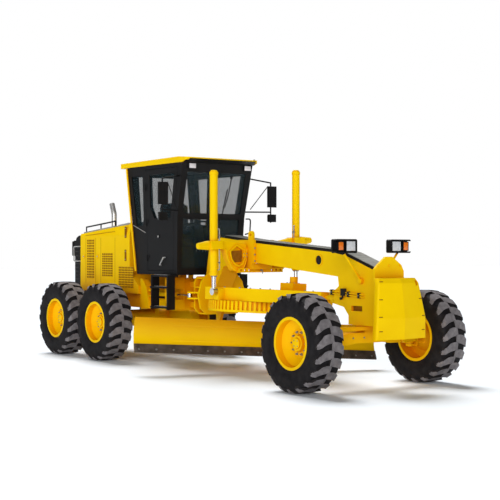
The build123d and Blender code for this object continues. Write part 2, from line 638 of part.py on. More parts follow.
def frame_rails():
    """Two rails with their gussets, the cab's rear mounts and the cylinders' lugs."""
    rail = block(330, 410, 4300, TAIL_Y, 900, 1080) + block(330, 410, 5150, TAIL_Y, 900, HOOD_BOTTOM_Z)
    gusset = slab_x([(5160, 1420), (5080, 1400), (4960, 1270), (4900, 1100), (4875, 905), (5160, 905)],
                    400, 520)
    mount = block(340, 400, 4880, 4960, 1000, CAB_FLOOR_Z)
    gap = 30 + PIVOT_GAP
    cylinder_lugs = None
    for z0 in (ARTIC_CYL_Z - gap - 25, ARTIC_CYL_Z + gap):
        lug = block(390, ARTIC_CYL_X + 40, ARTIC_CYL_REAR_Y, ARTIC_CYL_REAR_Y + 130, z0, z0 + 25)
        lug = lug + Pos(ARTIC_CYL_X, ARTIC_CYL_REAR_Y, z0 + 12.5) * Cylinder(45, 25)
        cylinder_lugs = lug if cylinder_lugs is None else cylinder_lugs + lug
    plate = block(370, 405, ARTIC_CYL_REAR_Y + 60, ARTIC_CYL_REAR_Y + 135, 1040, 1240)
    pin = Pos(ARTIC_CYL_X, ARTIC_CYL_REAR_Y, ARTIC_CYL_Z) * Cylinder(ARTIC_CYL_PIN, 2 * gap + 60)
    return both_sides(rail + gusset + mount + cylinder_lugs + plate + pin)


def tail_hitch():
    """Tail plate across the rails' ends, with the ripper's bolt holes and the tow clevis."""
    tail = block(-420, 420, TAIL_Y, TAIL_Y + 80, 860, HOOD_BOTTOM_Z - 5)
    for x in (-RIPPER_BOLT_X, RIPPER_BOLT_X):
        for z in (RIPPER_BOLT_Z - 80, RIPPER_BOLT_Z + 80):
            tail = tail - bar((x, TAIL_Y - 10, z), (x, TAIL_Y + 90, z), RIPPER_BOLT_RADIUS)
    hitch = slab_z([(-110, TAIL_Y + 70), (110, TAIL_Y + 70), (60, HITCH_Y + 20), (30, HITCH_Y + 50),
                    (-30, HITCH_Y + 50),
                    (-60, HITCH_Y + 20)], HITCH_LOW_Z, HITCH_HIGH_Z)
    hitch = hitch - block(-120, 120, HITCH_Y - 90, HITCH_Y + 60, HITCH_LOW_Z + 30, HITCH_HIGH_Z - 30)
    hitch = hitch - Pos(0, HITCH_Y, 1000) * Cylinder(HITCH_PIN_RADIUS, 400)
    return tail + hitch


def tandem_drive():
    """Axle housing between the rails and the two tandem cases with their wheel spindles."""
    z = TYRE_RADIUS
    half = TANDEM_SPACING / 2
    housing = bar((-620, TANDEM_Y, z), (620, TANDEM_Y, z), 150)
    pads = both_sides(block(330, 410, TANDEM_Y - 140, TANDEM_Y + 140, z, 900))
    ends = ((-half, 165), (0, 215), (half, 165))
    case = None
    for dy, r in ends:
        drum = bar((620, TANDEM_Y + dy, z), (790, TANDEM_Y + dy, z), r)
        case = drum if case is None else case + drum
    case = case + slab_x([
        (TANDEM_Y - half, z - 165), (TANDEM_Y, z - 212), (TANDEM_Y + half, z - 165),
        (TANDEM_Y + half, z + 165),
        (TANDEM_Y, z + 212), (TANDEM_Y - half, z + 165),
    ], 620, 790)
    for dy in (-half, half):
        case = case + bar((790, TANDEM_Y + dy, z), (WHEEL_X - 65, TANDEM_Y + dy, z), 95)
        case = case + bar((790, TANDEM_Y + dy, z), (WHEEL_X + 85, TANDEM_Y + dy, z), SPINDLE_RADIUS)
    return housing + pads + both_sides(case)


save("hinge_yoke", hinge_yoke())
save("frame_rails", frame_rails())
save("tail_hitch", tail_hitch())
save("tandem_drive", tandem_drive())
save("engine", block(-300, 300, 5700, 7000, 1000, 1950) + block(-330, 330, 5900, 6000, 1050, 1130))


# ---------------------------------------------------------------- frame steering cylinders
def artic_barrel(sign):
    x = sign * ARTIC_CYL_X
    z = ARTIC_CYL_Z
    tube = bar((x, ARTIC_CYL_REAR_Y - 60, z), (x, 4010, z), 42) + bar((x, ARTIC_CYL_REAR_Y, z),
                                                                      (x, 4600, z), 28)
    bore = bar((x, ARTIC_CYL_REAR_Y - 80, z), (x, 4030, z), 33)
    gland = bar((x, 4100, z), (x, 4000, z), 20 + RUN)
    eye = Pos(x, ARTIC_CYL_REAR_Y, z) * Cylinder(42, 60)
    pin_bore = Pos(x, ARTIC_CYL_REAR_Y, z) * Cylinder(ARTIC_CYL_PIN + RUN, 80)
    return tube - bore - gland + eye - pin_bore


def artic_rod(sign):
    x = sign * ARTIC_CYL_X
    z = ARTIC_CYL_Z
    rod = bar((x, ARTIC_CYL_FRONT_Y + 30, z), (x, 4340, z), 20)
    piston = bar((x, 4300, z), (x, 4340, z), 33 - RUN)
    eye = Pos(x, ARTIC_CYL_FRONT_Y, z) * Cylinder(42, 60)
    pin_bore = Pos(x, ARTIC_CYL_FRONT_Y, z) * Cylinder(ARTIC_CYL_PIN, 80)
    return rod + piston + eye - pin_bore


for side, sign in (("left", 1), ("right", -1)):
    save(f"artic_barrel_{side}", artic_barrel(sign))
    save(f"artic_rod_{side}", artic_rod(sign))


# ---------------------------------------------------------------- engine hood
def hood_section(inset):
    """Hood block with every face moved inward by inset."""
    i = inset
    side = slab_x([
        (HOOD_FRONT_Y + i, HOOD_FRONT_Z - i), (HOOD_REAR_Y - i, HOOD_REAR_Z - i),
        (HOOD_REAR_Y - i, HOOD_BOTTOM_Z),
        (5170 + i, HOOD_BOTTOM_Z), (5190 + i, 1290), (5420 + i, 1470), (HOOD_FRONT_Y + i, 1500),
    ], -HOOD_HALF_WIDTH + i, HOOD_HALF_WIDTH - i)
    w = HOOD_HALF_WIDTH - i
    front = slab_y([(-w, 1100), (w, 1100), (w, 2180 - i), (w - 50, 2390 - i), (-w + 50, 2390 - i),
                    (-w, 2180 - i)],
                   5000, 7500)
    return side & front


hood_shell = hood_section(0) - hood_section(PANEL)
under = block(-HOOD_HALF_WIDTH + PANEL, HOOD_HALF_WIDTH - PANEL, 5195, HOOD_REAR_Y - PANEL, 1100, 1200)
side_cut = block(HOOD_HALF_WIDTH - PANEL, 600, 5100, 7400, 1100, 2100)
hood_side = hood_shell & side_cut
hood_top = hood_shell - both_sides(side_cut) - under

grilles = (
    # front station, rear station, low, high, number of bars
    (6830, 7070, 1390, 2090, 5),
    (6110, 6510, 1430, 1860, 8),
)
for y0, y1, z0, z1, count in grilles:
    hood_side = hood_side - block(500, 600, y0, y1, z0, z1)
    pitch = (y1 - y0) / count
    for k in range(count):
        y = y0 + (k + 0.5) * pitch
        hood_side = hood_side + block(HOOD_HALF_WIDTH - 20, HOOD_HALF_WIDTH - 5, y - pitch * 0.3,
                                      y + pitch * 0.3, z0, z1)
save("hood_top", hood_top)
save("hood_sides", both_sides(hood_side))


def rear_cowl():
    """Radiator housing behind the hood, round at the top, with its louvre box."""
    body = slab_x([(HOOD_REAR_Y, 1150), (7660, 1150), (7660, 2050), (7600, 2150), (7500, 2190),
                   (HOOD_REAR_Y, 2200)],
                  -520, 520)
    louvre = block(-400, 400, 7660, 7950, 1800, 2100)
    return body + louvre


def exhaust():
    """Stack through the hood with its outlet bent to the rear."""
    path = FilletPolyline((0, EXHAUST_Y, 2150), (0, EXHAUST_Y, 2600), (0, EXHAUST_Y + 90, 2800), radius=200)
    pipe = sweep(Plane(origin=(0, EXHAUST_Y, 2150)) * Circle(50), path)
    return pipe - hood_section(0)


save("rear_cowl", rear_cowl())
save("exhaust", exhaust())


# ---------------------------------------------------------------- cab
def cab_profile(inset):
    """Side outline of the cab, moved inward by inset."""
    outer = make_face(Polyline((3760, CAB_FLOOR_Z), (3700, 2460), (3500, CAB_TOP_Z), (5300, CAB_TOP_Z),
                               (5060, CAB_FLOOR_Z), close=True))
    return offset(outer, -inset, kind=Kind.INTERSECTION) if inset else outer


def cab_section(inset):
    side = extrude(Plane.YZ * cab_profile(inset), 800, both=True)
    t = CAB_HALF_TOP - inset
    b = CAB_HALF_BOTTOM - inset
    front = slab_y([(-b, CAB_FLOOR_Z), (b, CAB_FLOOR_Z), (t, CAB_TOP_Z), (-t, CAB_TOP_Z)], 3000, 6000)
    return side & front


cab_outer = cab_section(0)
cab_shell = cab_outer - cab_section(CAB_WALL)
glass_skin = cab_section(20) - cab_section(20 + GLASS)

door_outline = [(4690, 1570), (3880, 1570), (3835, 2440), (3640, 3270), (4690, 3270)]
door_window = [(4560, 2640), (4440, 2450), (3920, 2450), (3760, 3180), (4560, 3180)]
quarter_window = [(5040, 2330), (4830, 2330), (4790, 2420), (4790, 3180), (5170, 3180)]
front_windows = (
    # half-width or left and right edges, low, high
    (-580, 580, 2520, 3190),
    (-560, -30, 1620, 2420),
    (30, 560, 1620, 2420),
)
rear_window = (-520, 520, 2400, 3190)


def prism_x(points, sign):
    return slab_x(points, 500, 900) if sign > 0 else slab_x(points, -900, -500)


def grown(points, gap):
    """Outline moved outward by gap."""
    return offset(make_face(Polyline(*points, close=True)), gap, kind=Kind.INTERSECTION)


def hinge_bar(z0, z1, radius):
    """Round bar on the left door's hinge line between two heights."""
    slope = (CAB_HALF_TOP - CAB_HALF_BOTTOM) / (CAB_TOP_Z - CAB_FLOOR_Z)
    ends = [(CAB_HALF_BOTTOM + slope * (z - CAB_FLOOR_Z) + HINGE_OUT, HINGE_Y, z) for z in (z0, z1)]
    return bar(ends[0], ends[1], radius)


def hinge_leaf(z0, z1, y0, y1):
    """Leaf on the left side's outer face."""
    leaf = block(600, 760, y0, y1, z0, z1) & (cab_section(-8) - cab_section(1))
    return leaf


def hinges():
    """Left door's three hinges: the door's knuckles and the frame's knuckles with the pins."""
    on_door = None
    on_frame = None
    for z in HINGE_HEIGHTS:
        knuckle = hinge_bar(z, z + 50, 11) + hinge_leaf(z, z + 50, HINGE_Y - 60, HINGE_Y - 2)
        knuckle = knuckle - hinge_bar(z - 20, z + 70, 6 + RUN)
        on_door = knuckle if on_door is None else on_door + knuckle
        seat_leaf = hinge_bar(z - 55, z - 5, 11) + hinge_bar(z - 55, z + 52, 6)
        seat_leaf = seat_leaf + hinge_leaf(z - 55, z - 5, HINGE_Y + 2, HINGE_Y + 60)
        on_frame = seat_leaf if on_frame is None else on_frame + seat_leaf
    return on_door, on_frame


door_hinge, frame_hinge = hinges()
cab_frame = cab_shell
glass = None
for sign in (1, -1):
    hole = Pos(sign * 700, 0, 0) * extrude(Plane.YZ * grown(door_outline, DOOR_GAP), 200, both=True)
    door = (cab_shell & prism_x(door_outline, sign)) - prism_x(door_window, sign)
    door = door + (door_hinge if sign > 0 else mirrored(door_hinge))
    door_glass = glass_skin & prism_x(door_window, sign)
    cab_frame = cab_frame - hole
    quarter = prism_x(quarter_window, sign)
    cab_frame = cab_frame - quarter
    pane = glass_skin & quarter
    glass = pane if glass is None else glass + pane
    side = "left" if sign > 0 else "right"
    save(f"cab_door_{side}", door)
    save(f"door_glass_{side}", door_glass)
for x0, x1, z0, z1 in front_windows:
    opening = block(x0, x1, 3300, 4000, z0, z1)
    cab_frame = cab_frame - opening
    glass = glass + (glass_skin & opening)
x0, x1, z0, z1 = rear_window
opening = block(x0, x1, 4900, 5600, z0, z1)
cab_frame = cab_frame - opening
glass = glass + (glass_skin & opening)
cab_frame = cab_frame + both_sides(frame_hinge)
save("cab_frame", cab_frame)
save("cab_glass", glass)


def roof():
    """Roof panel with its front visor and chamfered corners."""
    side = slab_x([(3330, 3395), (3345, 3415), (3600, ROOF_TOP_Z), (5540, ROOF_TOP_Z - 10), (5570, 3410),
                   (5570, 3345),
                   (3480, CAB_TOP_Z)], -720, 720)
    plan = slab_z([(-640, 3300), (640, 3300), (720, 3400), (720, 5500), (660, 5600), (-660, 5600),
                   (-720, 5500),
                   (-720, 3400)], 3300, 3500)
    return side & plan


save("cab_roof", roof())


def seat():
    """Driver's seat on its pedestal."""
    pedestal = block(-170, 170, 4450, 4750, CAB_FLOOR_Z + CAB_WALL, 1950)
    cushion = block(-250, 250, 4380, 4850, 1950, 2070)
    back = slab_x([(4780, 2070), (4880, 2070), (4960, 2700), (4880, 2700)], -230, 230)
    return pedestal + cushion + back


def console():
    """Steering column with its wheel and lever boxes."""
    column = slab_x([(3950, CAB_FLOOR_Z + CAB_WALL), (4080, CAB_FLOOR_Z + CAB_WALL), (4180, 2330),
                     (4110, 2330)], -90, 90)
    wheel = Pos(0, 4150, 2330) * Rot(-20, 0, 0) * Torus(190, 16)
    spokes = Pos(0, 4150, 2325) * Rot(-20, 0, 0) * Box(360, 40, 16)
    return column + wheel + spokes


save("seat", seat())
save("steering_console", console())


def ladder():
    """Left ladder under the cab door: two stringers and two treads."""
    pieces = None
    for y in (3790, 4290):
        stringer = slab_x([(y, 930), (y + 40, 930), (y + 40, CAB_FLOOR_Z), (y, CAB_FLOOR_Z)], 660, 800)
        pieces = stringer if pieces is None else pieces + stringer
    for z in (950, 1280):
        pieces = pieces + block(660, 820, 3790, 4330, z, z + 30)
    pieces = pieces + block(600, 800, 3790, 4330, CAB_FLOOR_Z - 30, CAB_FLOOR_Z)
    return pieces


def mirrors():
    """Left mirror on its arms from the front pillar."""
    arm_top = bar((660, 3620, 3130), (1080, 3500, 3060), 12)
    arm_low = bar((640, 3720, 2560), (1080, 3500, 2560), 12)
    post = bar((1080, 3500, 2380), (1080, 3500, 3070), 12)
    large = block(1000, 1170, 3450, 3494, 2640, 3000)
    small = block(1010, 1160, 3450, 3494, 2390, 2520)
    return (arm_top + arm_low + post + large + small) - cab_outer


save("ladders", both_sides(ladder()))
save("mirrors", both_sides(mirrors()))


def handrails():
    """Rails along the hood's top edges."""
    rail = bar((470, 6140, 2440), (470, 7280, 2350), 14)
    for y, z in ((6140, 2440), (6700, 2396), (7280, 2350)):
        rail = rail + bar((470, y, z - 130), (470, y, z), 12)
    return rail - hood_section(0)


save("handrails", both_sides(handrails()))
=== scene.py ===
import bpy
import bmesh
import math
from mathutils import Matrix, Vector
from mathutils.bvhtree import BVHTree


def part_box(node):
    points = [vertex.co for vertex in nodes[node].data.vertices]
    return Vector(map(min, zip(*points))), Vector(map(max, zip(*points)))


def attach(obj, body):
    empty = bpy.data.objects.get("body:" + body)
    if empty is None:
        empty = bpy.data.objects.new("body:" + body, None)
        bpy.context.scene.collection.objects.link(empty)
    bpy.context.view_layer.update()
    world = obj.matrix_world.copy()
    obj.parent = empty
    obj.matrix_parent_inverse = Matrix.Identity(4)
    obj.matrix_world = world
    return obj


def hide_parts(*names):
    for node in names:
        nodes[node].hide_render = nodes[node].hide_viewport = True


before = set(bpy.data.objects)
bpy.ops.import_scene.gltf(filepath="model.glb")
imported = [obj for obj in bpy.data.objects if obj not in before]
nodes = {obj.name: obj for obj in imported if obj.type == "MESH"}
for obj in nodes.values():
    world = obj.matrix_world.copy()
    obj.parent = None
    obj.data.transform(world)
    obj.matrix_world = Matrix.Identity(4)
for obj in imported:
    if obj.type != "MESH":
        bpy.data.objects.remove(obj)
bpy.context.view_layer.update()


# ---------- camera
# A long lens at standing height off the machine's front right corner, all but level, so
# that the nose, the whole right side and the underside of the beam are in view.
camera_lens = bpy.data.cameras.new("camera")
camera_lens.lens = 81.2
camera_lens.sensor_width = 36
camera_lens.clip_end = 200
camera = bpy.data.objects.new("camera", camera_lens)
camera.location = (-10.45, -15.51, 1.89)
camera.rotation_euler = (math.radians(90.07), 0, math.radians(-35.65))
bpy.context.scene.collection.objects.link(camera)
bpy.context.scene.camera = camera
bpy.context.scene.view_settings.view_transform = "Standard"


# ---------- floor and studio light
# A white studio floor that runs to a white backdrop: one broad lamp overhead and behind,
# a weaker one from the camera's side, and a little even light from all round.
WHITE = (1, 1, 1, 1)
WARM_WHITE = (1, 0.97, 0.95, 1)
FLOOR_WHITE = (0.87, 0.92, 0.97, 1)
EVEN_LIGHT = 0.11
FLOOR_GLOW = 0.03
FLOOR_REACH = 90


def blank_tree(owner):
    """Give the world or a material an empty set of shader nodes."""
    owner.use_nodes = True
    owner.node_tree.nodes.clear()
    return owner.node_tree


def node_in(tree, kind, values=(), **options):
    """Add one shader node: first its options, then its own sockets' values."""
    node = tree.nodes.new(f"ShaderNode{kind}")
    for option, choice in options.items():
        setattr(node, option, choice)
    for socket, value in dict(values).items():
        node.inputs[socket].default_value = value
    return node


def wire(tree, *runs):
    """Join shader nodes; a run names a node and its output, then the next one and its socket."""
    for giver, output, taker, socket in runs:
        tree.links.new(giver.outputs[output], taker.inputs[socket])


world = bpy.data.worlds.new("studio")
bpy.context.scene.world = world
tree = blank_tree(world)
rays = node_in(tree, "LightPath")
seen = node_in(tree, "Math", operation="ADD", use_clamp=True)
even_light = node_in(tree, "Background", {"Color": WARM_WHITE, "Strength": EVEN_LIGHT})
backdrop = node_in(tree, "Background", {"Color": WHITE, "Strength": 1})
sky = node_in(tree, "MixShader")
world_out = node_in(tree, "OutputWorld")
wire(tree, (rays, "Is Camera Ray", seen, 0), (rays, "Is Transmission Ray", seen, 1), (seen, 0, sky, 0),
     (even_light, 0, sky, 1), (backdrop, 0, sky, 2), (sky, 0, world_out, "Surface"))

for lamp_name, strength, spread, tilt, turn in (
    ("top_light", 3.5, 30, 34, 166),
    ("front_light", 2.85, 46, 85, -45),
):
    lamp = bpy.data.lights.new(lamp_name, "SUN")
    lamp.energy = strength
    lamp.angle = math.radians(spread)
    lamp_stand = bpy.data.objects.new(lamp_name, lamp)
    lamp_stand.rotation_euler = (math.radians(tilt), 0, math.radians(turn))
    bpy.context.scene.collection.objects.link(lamp_stand)

floor_mesh = bpy.data.meshes.new("floor")
floor_shape = bmesh.new()
bmesh.ops.create_grid(floor_shape, x_segments=4, y_segments=4, size=FLOOR_REACH)
floor_shape.to_mesh(floor_mesh)
floor_shape.free()
floor = bpy.data.objects.new("floor", floor_mesh)
bpy.context.scene.collection.objects.link(floor)
floor_paint = bpy.data.materials.new("studio_floor")
floor_mesh.materials.append(floor_paint)
tree = blank_tree(floor_paint)
matt_white = node_in(tree, "BsdfDiffuse", {"Color": FLOOR_WHITE})
rays = node_in(tree, "LightPath")
glow_share = node_in(tree, "Math", {1: FLOOR_GLOW}, operation="MULTIPLY")
glow = node_in(tree, "Emission", {"Color": WHITE})
lit_floor = node_in(tree, "AddShader")
floor_out = node_in(tree, "OutputMaterial")
wire(tree, (rays, "Is Camera Ray", glow_share, 0), (glow_share, 0, glow, "Strength"),
     (matt_white, 0, lit_floor, 0), (glow, 0, lit_floor, 1), (lit_floor, 0, floor_out, "Surface"))


# ---------- tyres
# Grader tyres of black rubber moulded in one piece: a round-shouldered casing with twenty
# staggered bent lugs on each half of the tread, their tops scuffed grey by the road.
TONE_STOPS = (0.36, 0.7)  # where each tone is at its purest
PAINTED_SHADE_REACH = 0.7  # how near a wall must be for the painted corner shade
# painted shade up the blade's curved face: the way it is measured, where it begins and is full, its strongest
# share
BLADE_SHADE_UP = (0.054, 0, 0.9985)  # square to the blade's banked edge
BLADE_SHADE_FROM, BLADE_SHADE_TO, BLADE_SHADE_MOST = 0.42, 0.76, 0.8


def mixed_with(tree, tint, other, giver, output):
    """Lead a tint over to another colour by the share that a node gives."""
    both = node_in(tree, "Mix", {7: (*other, 1)}, data_type="RGBA")
    wire(tree, (giver, output, both, 0), (*tint, both, 6))
    return both, 2


def finish(name, colour, second, blotch, rough, rough_spread, bump, grain, metal=0.0, shine=0.2,
           painted_shade=None, painted_blade_shade=None):
    """Surface whose colour drifts between two tones, with uneven gloss and a fine grain; it may also take
    a deeper colour painted into its corners and recesses as shade, and another painted as shade up the blade."""
    made_finish = bpy.data.materials.new(name)
    tree = blank_tree(made_finish)
    place = node_in(tree, "TexCoord")
    patches = node_in(tree, "TexNoise", {"Scale": blotch, "Detail": 6, "Roughness": 0.6})
    speckle = node_in(tree, "TexNoise", {"Scale": grain, "Detail": 3})
    tones = node_in(tree, "ValToRGB")
    for stop, position, tone in zip(tones.color_ramp.elements, TONE_STOPS, (colour, second)):
        stop.position = position
        stop.color = (*tone, 1)
    gloss = node_in(tree, "MapRange", {"To Min": rough - rough_spread, "To Max": rough + rough_spread})
    relief = node_in(tree, "Bump", {"Strength": 1, "Distance": bump})
    shader = node_in(tree, "BsdfPrincipled", {"Metallic": metal, "Specular IOR Level": shine})
    surface_out = node_in(tree, "OutputMaterial")
    tint = (tones, "Color")
    if painted_shade is not None:
        # painted shade: the tint turns to the deeper colour where walls close in, in corners and recesses
        shade_occlusion = node_in(tree, "AmbientOcclusion", {"Distance": PAINTED_SHADE_REACH}, samples=8)
        shade_share = node_in(tree, "MapRange", {"From Min": 0.9, "From Max": 0.25})
        wire(tree, (shade_occlusion, "AO", shade_share, "Value"))
        tint = mixed_with(tree, tint, painted_shade, shade_share, "Result")
    if painted_blade_shade is not None:
        # painted shade: the blade turns darker orange higher up its curved face
        height = node_in(tree, "VectorMath", operation="DOT_PRODUCT")
        height.inputs[1].default_value = BLADE_SHADE_UP
        blade_shade_share = node_in(tree, "MapRange", {"From Min": BLADE_SHADE_FROM, "From Max": BLADE_SHADE_TO, "To Max": BLADE_SHADE_MOST})
        wire(tree, (place, "Object", height, 0), (height, "Value", blade_shade_share, "Value"))
        tint = mixed_with(tree, tint, painted_blade_shade, blade_shade_share, "Result")
    wire(tree, (place, "Object", patches, "Vector"), (place, "Object", speckle, "Vector"),
         (patches, "Fac", tones, "Fac"), (patches, "Fac", gloss, "Value"), (speckle, "Fac", relief, "Height"),
         (*tint, shader, "Base Color"), (gloss, "Result", shader, "Roughness"),
         (relief, "Normal", shader, "Normal"), (shader, 0, surface_out, "Surface"))
    return made_finish


DATUM_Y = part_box("gooseneck")[0].y + 0.6  # the beam's nose is 0.6 m ahead of its datum
MIRROR_X = Matrix.Diagonal((-1, 1, 1, 1))


def eased(part, edges, offset, steps=1):
    """Round off some edges of a part."""
    bmesh.ops.bevel(part, geom=edges, offset=offset, segments=steps, affect="EDGES", profile=0.5, material=-1)


def add_piece(name, shape, body, slot, *finishes, place=None, smooth=30):
    """Turn a bmesh drawn in metres from the beam's datum into a piece that rides on a body."""
    if place is not None:
        shape.transform(place)
        if place.determinant() < 0:
            bmesh.ops.reverse_faces(shape, faces=shape.faces)
    shape.transform(Matrix.Translation((0, DATUM_Y, 0)))
    mesh = bpy.data.meshes.new(name)
    shape.to_mesh(mesh)
    shape.free()
    for one in finishes:
        mesh.materials.append(one)
    mesh.shade_smooth()
    mesh.set_sharp_from_angle(angle=math.radians(smooth))
    made_piece = bpy.data.objects.new(name, mesh)
    bpy.context.scene.collection.objects.link(made_piece)
    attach(made_piece, body)
    return made_piece


def join_in(shape, part, paint=0):
    """Merge one drawn part into a piece, all its faces in one finish unless paint is None."""
    if paint is not None:
        for face in part.faces:
            face.material_index = paint
    carried = bpy.data.meshes.new("carried")
    part.to_mesh(carried)
    part.free()
    shape.from_mesh(carried)
    bpy.data.meshes.remove(carried)


RUBBER_SHINE = 0.12
casing_rubber = finish(
    "tyre_casing", (0.008, 0.007, 0.008), (0.02, 0.018, 0.019), 9, 0.72, 0.1, 0.0006, 420, shine=RUBBER_SHINE)
lug_side_rubber = finish("tyre_lug_sides", (0.012, 0.01, 0.01), (0.03, 0.026, 0.026), 12, 0.75, 0.1, 0.0008,
                         300, shine=RUBBER_SHINE)
lug_top_rubber = finish(
    "tyre_lug_tops", (0.13, 0.12, 0.123), (0.23, 0.21, 0.215), 14, 0.8, 0.1, 0.0012, 300, shine=RUBBER_SHINE)
CROWN_RADIUS = 0.667
TREAD_HALF = 0.2225  # half the tread's width
CROWN_DROP = 0.010
SHOULDER_DROP = 0.060
SHOULDER_START = 0.72  # share of the half width
LUGS_PER_SIDE = 20
LUG_HEIGHT = 0.028
LUG_ROOT = 0.012  # how deep a lug is set in the casing
LUG_TAPER = 0.9  # a lug's top against its foot
LUG_EDGE = 0.006


def tread_radius(x):
    """Radius of the tread's outer surface at a distance from the tyre's middle plane."""
    bulge = min(abs(x) / TREAD_HALF, 1)
    shoulder = max(0, (bulge - SHOULDER_START) / (1 - SHOULDER_START))
    return CROWN_RADIUS - CROWN_DROP * bulge ** 2 - SHOULDER_DROP * shoulder ** 2


def casing_shape():
    """Hollow casing spun from one half of its section, mirrored and closed along the rim."""
    shape = bmesh.new()
    # half of the section as (offset, radius), from the tread's middle to the bead
    half = (
        (0, 0.638), (0.08, 0.637), (0.15, 0.633), (0.19, 0.622), (0.207, 0.6), (0.214, 0.56), (0.2225, 0.5),
        (0.222, 0.45), (0.214, 0.41), (0.206, 0.392), (0.206, 0.386), (0.196, 0.376), (0.19, 0.362),
        (0.19, 0.357), (0.172, 0.356), (0.172, 0.331),
    )
    points = [shape.verts.new((x, 0, radius)) for x, radius in half]
    for a, b in zip(points, points[1:]):
        shape.edges.new((a, b))
    bmesh.ops.mirror(shape, geom=shape.verts[:] + shape.edges[:], axis="X", merge_dist=0.0001)
    ends = sorted(shape.verts, key=lambda v: v.co.z)[:2]
    shape.edges.new(ends)
    bmesh.ops.spin(shape, geom=shape.verts[:] + shape.edges[:], cent=(0, 0, 0), axis=(1, 0, 0),
                   angle=math.tau, steps=96, use_merge=True)
    bmesh.ops.remove_doubles(shape, verts=shape.verts, dist=0.0002)
    bmesh.ops.recalc_face_normals(shape, faces=shape.faces)
    return shape


def lug_mesh():
    """One bent lug at the top of the tyre: a strip raised to a block, then wrapped on the tread."""
    # cross-sections along the lug: offset, lead along the tread, width
    stations = (
        (-0.020, 0.0, 0.080), (0.004, 0.003, 0.118), (0.075, 0.010, 0.128), (0.132, 0.028, 0.134),
        (0.18, 0.066, 0.120), (0.212, 0.104, 0.080), (0.2215, 0.13, 0.030),
    )
    lug = bmesh.new()
    bmesh.ops.create_grid(lug, x_segments=len(stations) - 1, y_segments=1, size=0.5)
    for v in lug.verts:
        x, lead, width = stations[round((v.co.x + 0.5) * (len(stations) - 1))]
        v.co = Vector((x, lead + math.copysign(width / 2, v.co.y), 0))
    top = bmesh.ops.extrude_face_region(lug, geom=lug.faces[:])
    for v in [g for g in top["geom"] if isinstance(g, bmesh.types.BMVert)]:
        v.co.z = 1
    bmesh.ops.recalc_face_normals(lug, faces=lug.faces)
    for face in lug.faces:
        face.material_index = 2 if face.normal.z > 0.9 else 1
    for v in lug.verts:
        on_top = v.co.z > 0.5
        radius = tread_radius(v.co.x) - (0 if on_top else LUG_HEIGHT + LUG_ROOT)
        lead = min(stations, key=lambda s: abs(s[0] - v.co.x))[1]
        angle = (lead + (v.co.y - lead) * (LUG_TAPER if on_top else 1)) / CROWN_RADIUS
        v.co = Vector((v.co.x, -math.sin(angle) * radius, math.cos(angle) * radius))
    rim = [e for e in lug.edges
           if all(math.hypot(v.co.y, v.co.z) > tread_radius(v.co.x) - 0.005 for v in e.verts)
           and len(e.link_faces) == 2 and e.calc_face_angle(0) > 0.7]
    eased(lug, rim, LUG_EDGE)
    mesh = bpy.data.meshes.new("lug")
    lug.to_mesh(mesh)
    lug.free()
    return mesh


def tyre_shape():
    """Casing with the lugs of both halves, one half set half a pitch behind the other."""
    shape = casing_shape()
    one_lug = lug_mesh()
    for side, shift in ((1, 0), (-1, 0.5)):
        for k in range(LUGS_PER_SIDE):
            first = len(shape.verts)
            shape.from_mesh(one_lug)
            shape.verts.ensure_lookup_table()
            new = shape.verts[first:]
            if side < 0:
                bmesh.ops.scale(shape, vec=(-1, 1, 1), verts=new)
                turned = {f for v in new for f in v.link_faces}
                bmesh.ops.reverse_faces(shape, faces=list(turned))
            angle = (k + shift) * math.tau / LUGS_PER_SIDE
            bmesh.ops.rotate(shape, verts=new, cent=(0, 0, 0), matrix=Matrix.Rotation(angle, 3, "X"))
    bpy.data.meshes.remove(one_lug)
    return shape


WHEELS = ("front_right", "front_left", "mid_right", "mid_left", "rear_right", "rear_left")


def wheel_middle(wheel):
    low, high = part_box(f"tyre_{wheel}")
    return (low + high) / 2 - Vector((0, DATUM_Y, 0))


for wheel in WHEELS:
    tyre = add_piece(f"tyre_tread_{wheel}", tyre_shape(), f"wheel_{wheel}", "tyre", casing_rubber,
                     lug_side_rubber, lug_top_rubber, smooth=35,
                     place=Matrix.Translation(wheel_middle(wheel)))
    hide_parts(f"tyre_{wheel}")


# ---------- paint and bare metal
# Frame, axle, blade and hood are welded or pressed steel sprayed with yellow enamel, the
# cab and small parts black; rods are chromed, the blade's edge bare and the pipe silver.
# the third tone is painted shade, a deeper orange laid into corners and recesses
YELLOW, SECOND_YELLOW, PAINTED_SHADE_YELLOW = (0.95, 0.62, 0.0), (0.92, 0.58, 0.0), (0.78, 0.27, 0.0)


def put_on(finish_used, *starts):
    """Cover every solid whose name has one of these starts with a finish."""
    for name, node in nodes.items():
        if name.startswith(starts):
            for place in node.material_slots:
                place.material = finish_used


yellow_paint = finish(
    "yellow_enamel", YELLOW, SECOND_YELLOW, 3, 0.5, 0.1, 0.00012, 260, shine=0.06, painted_shade=PAINTED_SHADE_YELLOW)
# the blade's enamel is also painted darker orange higher up its face, as shade in its curve
blade_paint = finish("blade_enamel", YELLOW, SECOND_YELLOW, 3, 0.45, 0.1, 0.00012, 260, shine=0.1,
                     painted_shade=PAINTED_SHADE_YELLOW, painted_blade_shade=(0.60, 0.25, 0.003))
dark_paint = finish(
    "black_enamel", (0.005, 0.005, 0.0055), (0.010, 0.0095, 0.010), 4, 0.5, 0.1, 0.0001, 300, shine=0.16)
put_on(yellow_paint, "rim_", "front_axle", "lean_b", "steering_knuckle", "gooseneck", "lift_saddle",
       "lift_arms", "push_block", "lift_barrel", "drawbar", "circle", "blade_carriage", "hinge_yoke",
       "frame_rails", "tail_hitch", "tandem_drive", "artic_barrel", "hood_", "cab_roof")
put_on(dark_paint, "tread_strip", "headlamps", "rear_cowl", "cab_frame", "cab_door", "steering_console",
       "ladders", "mirrors", "handrails", "seat")
put_on(blade_paint, "moldboard")
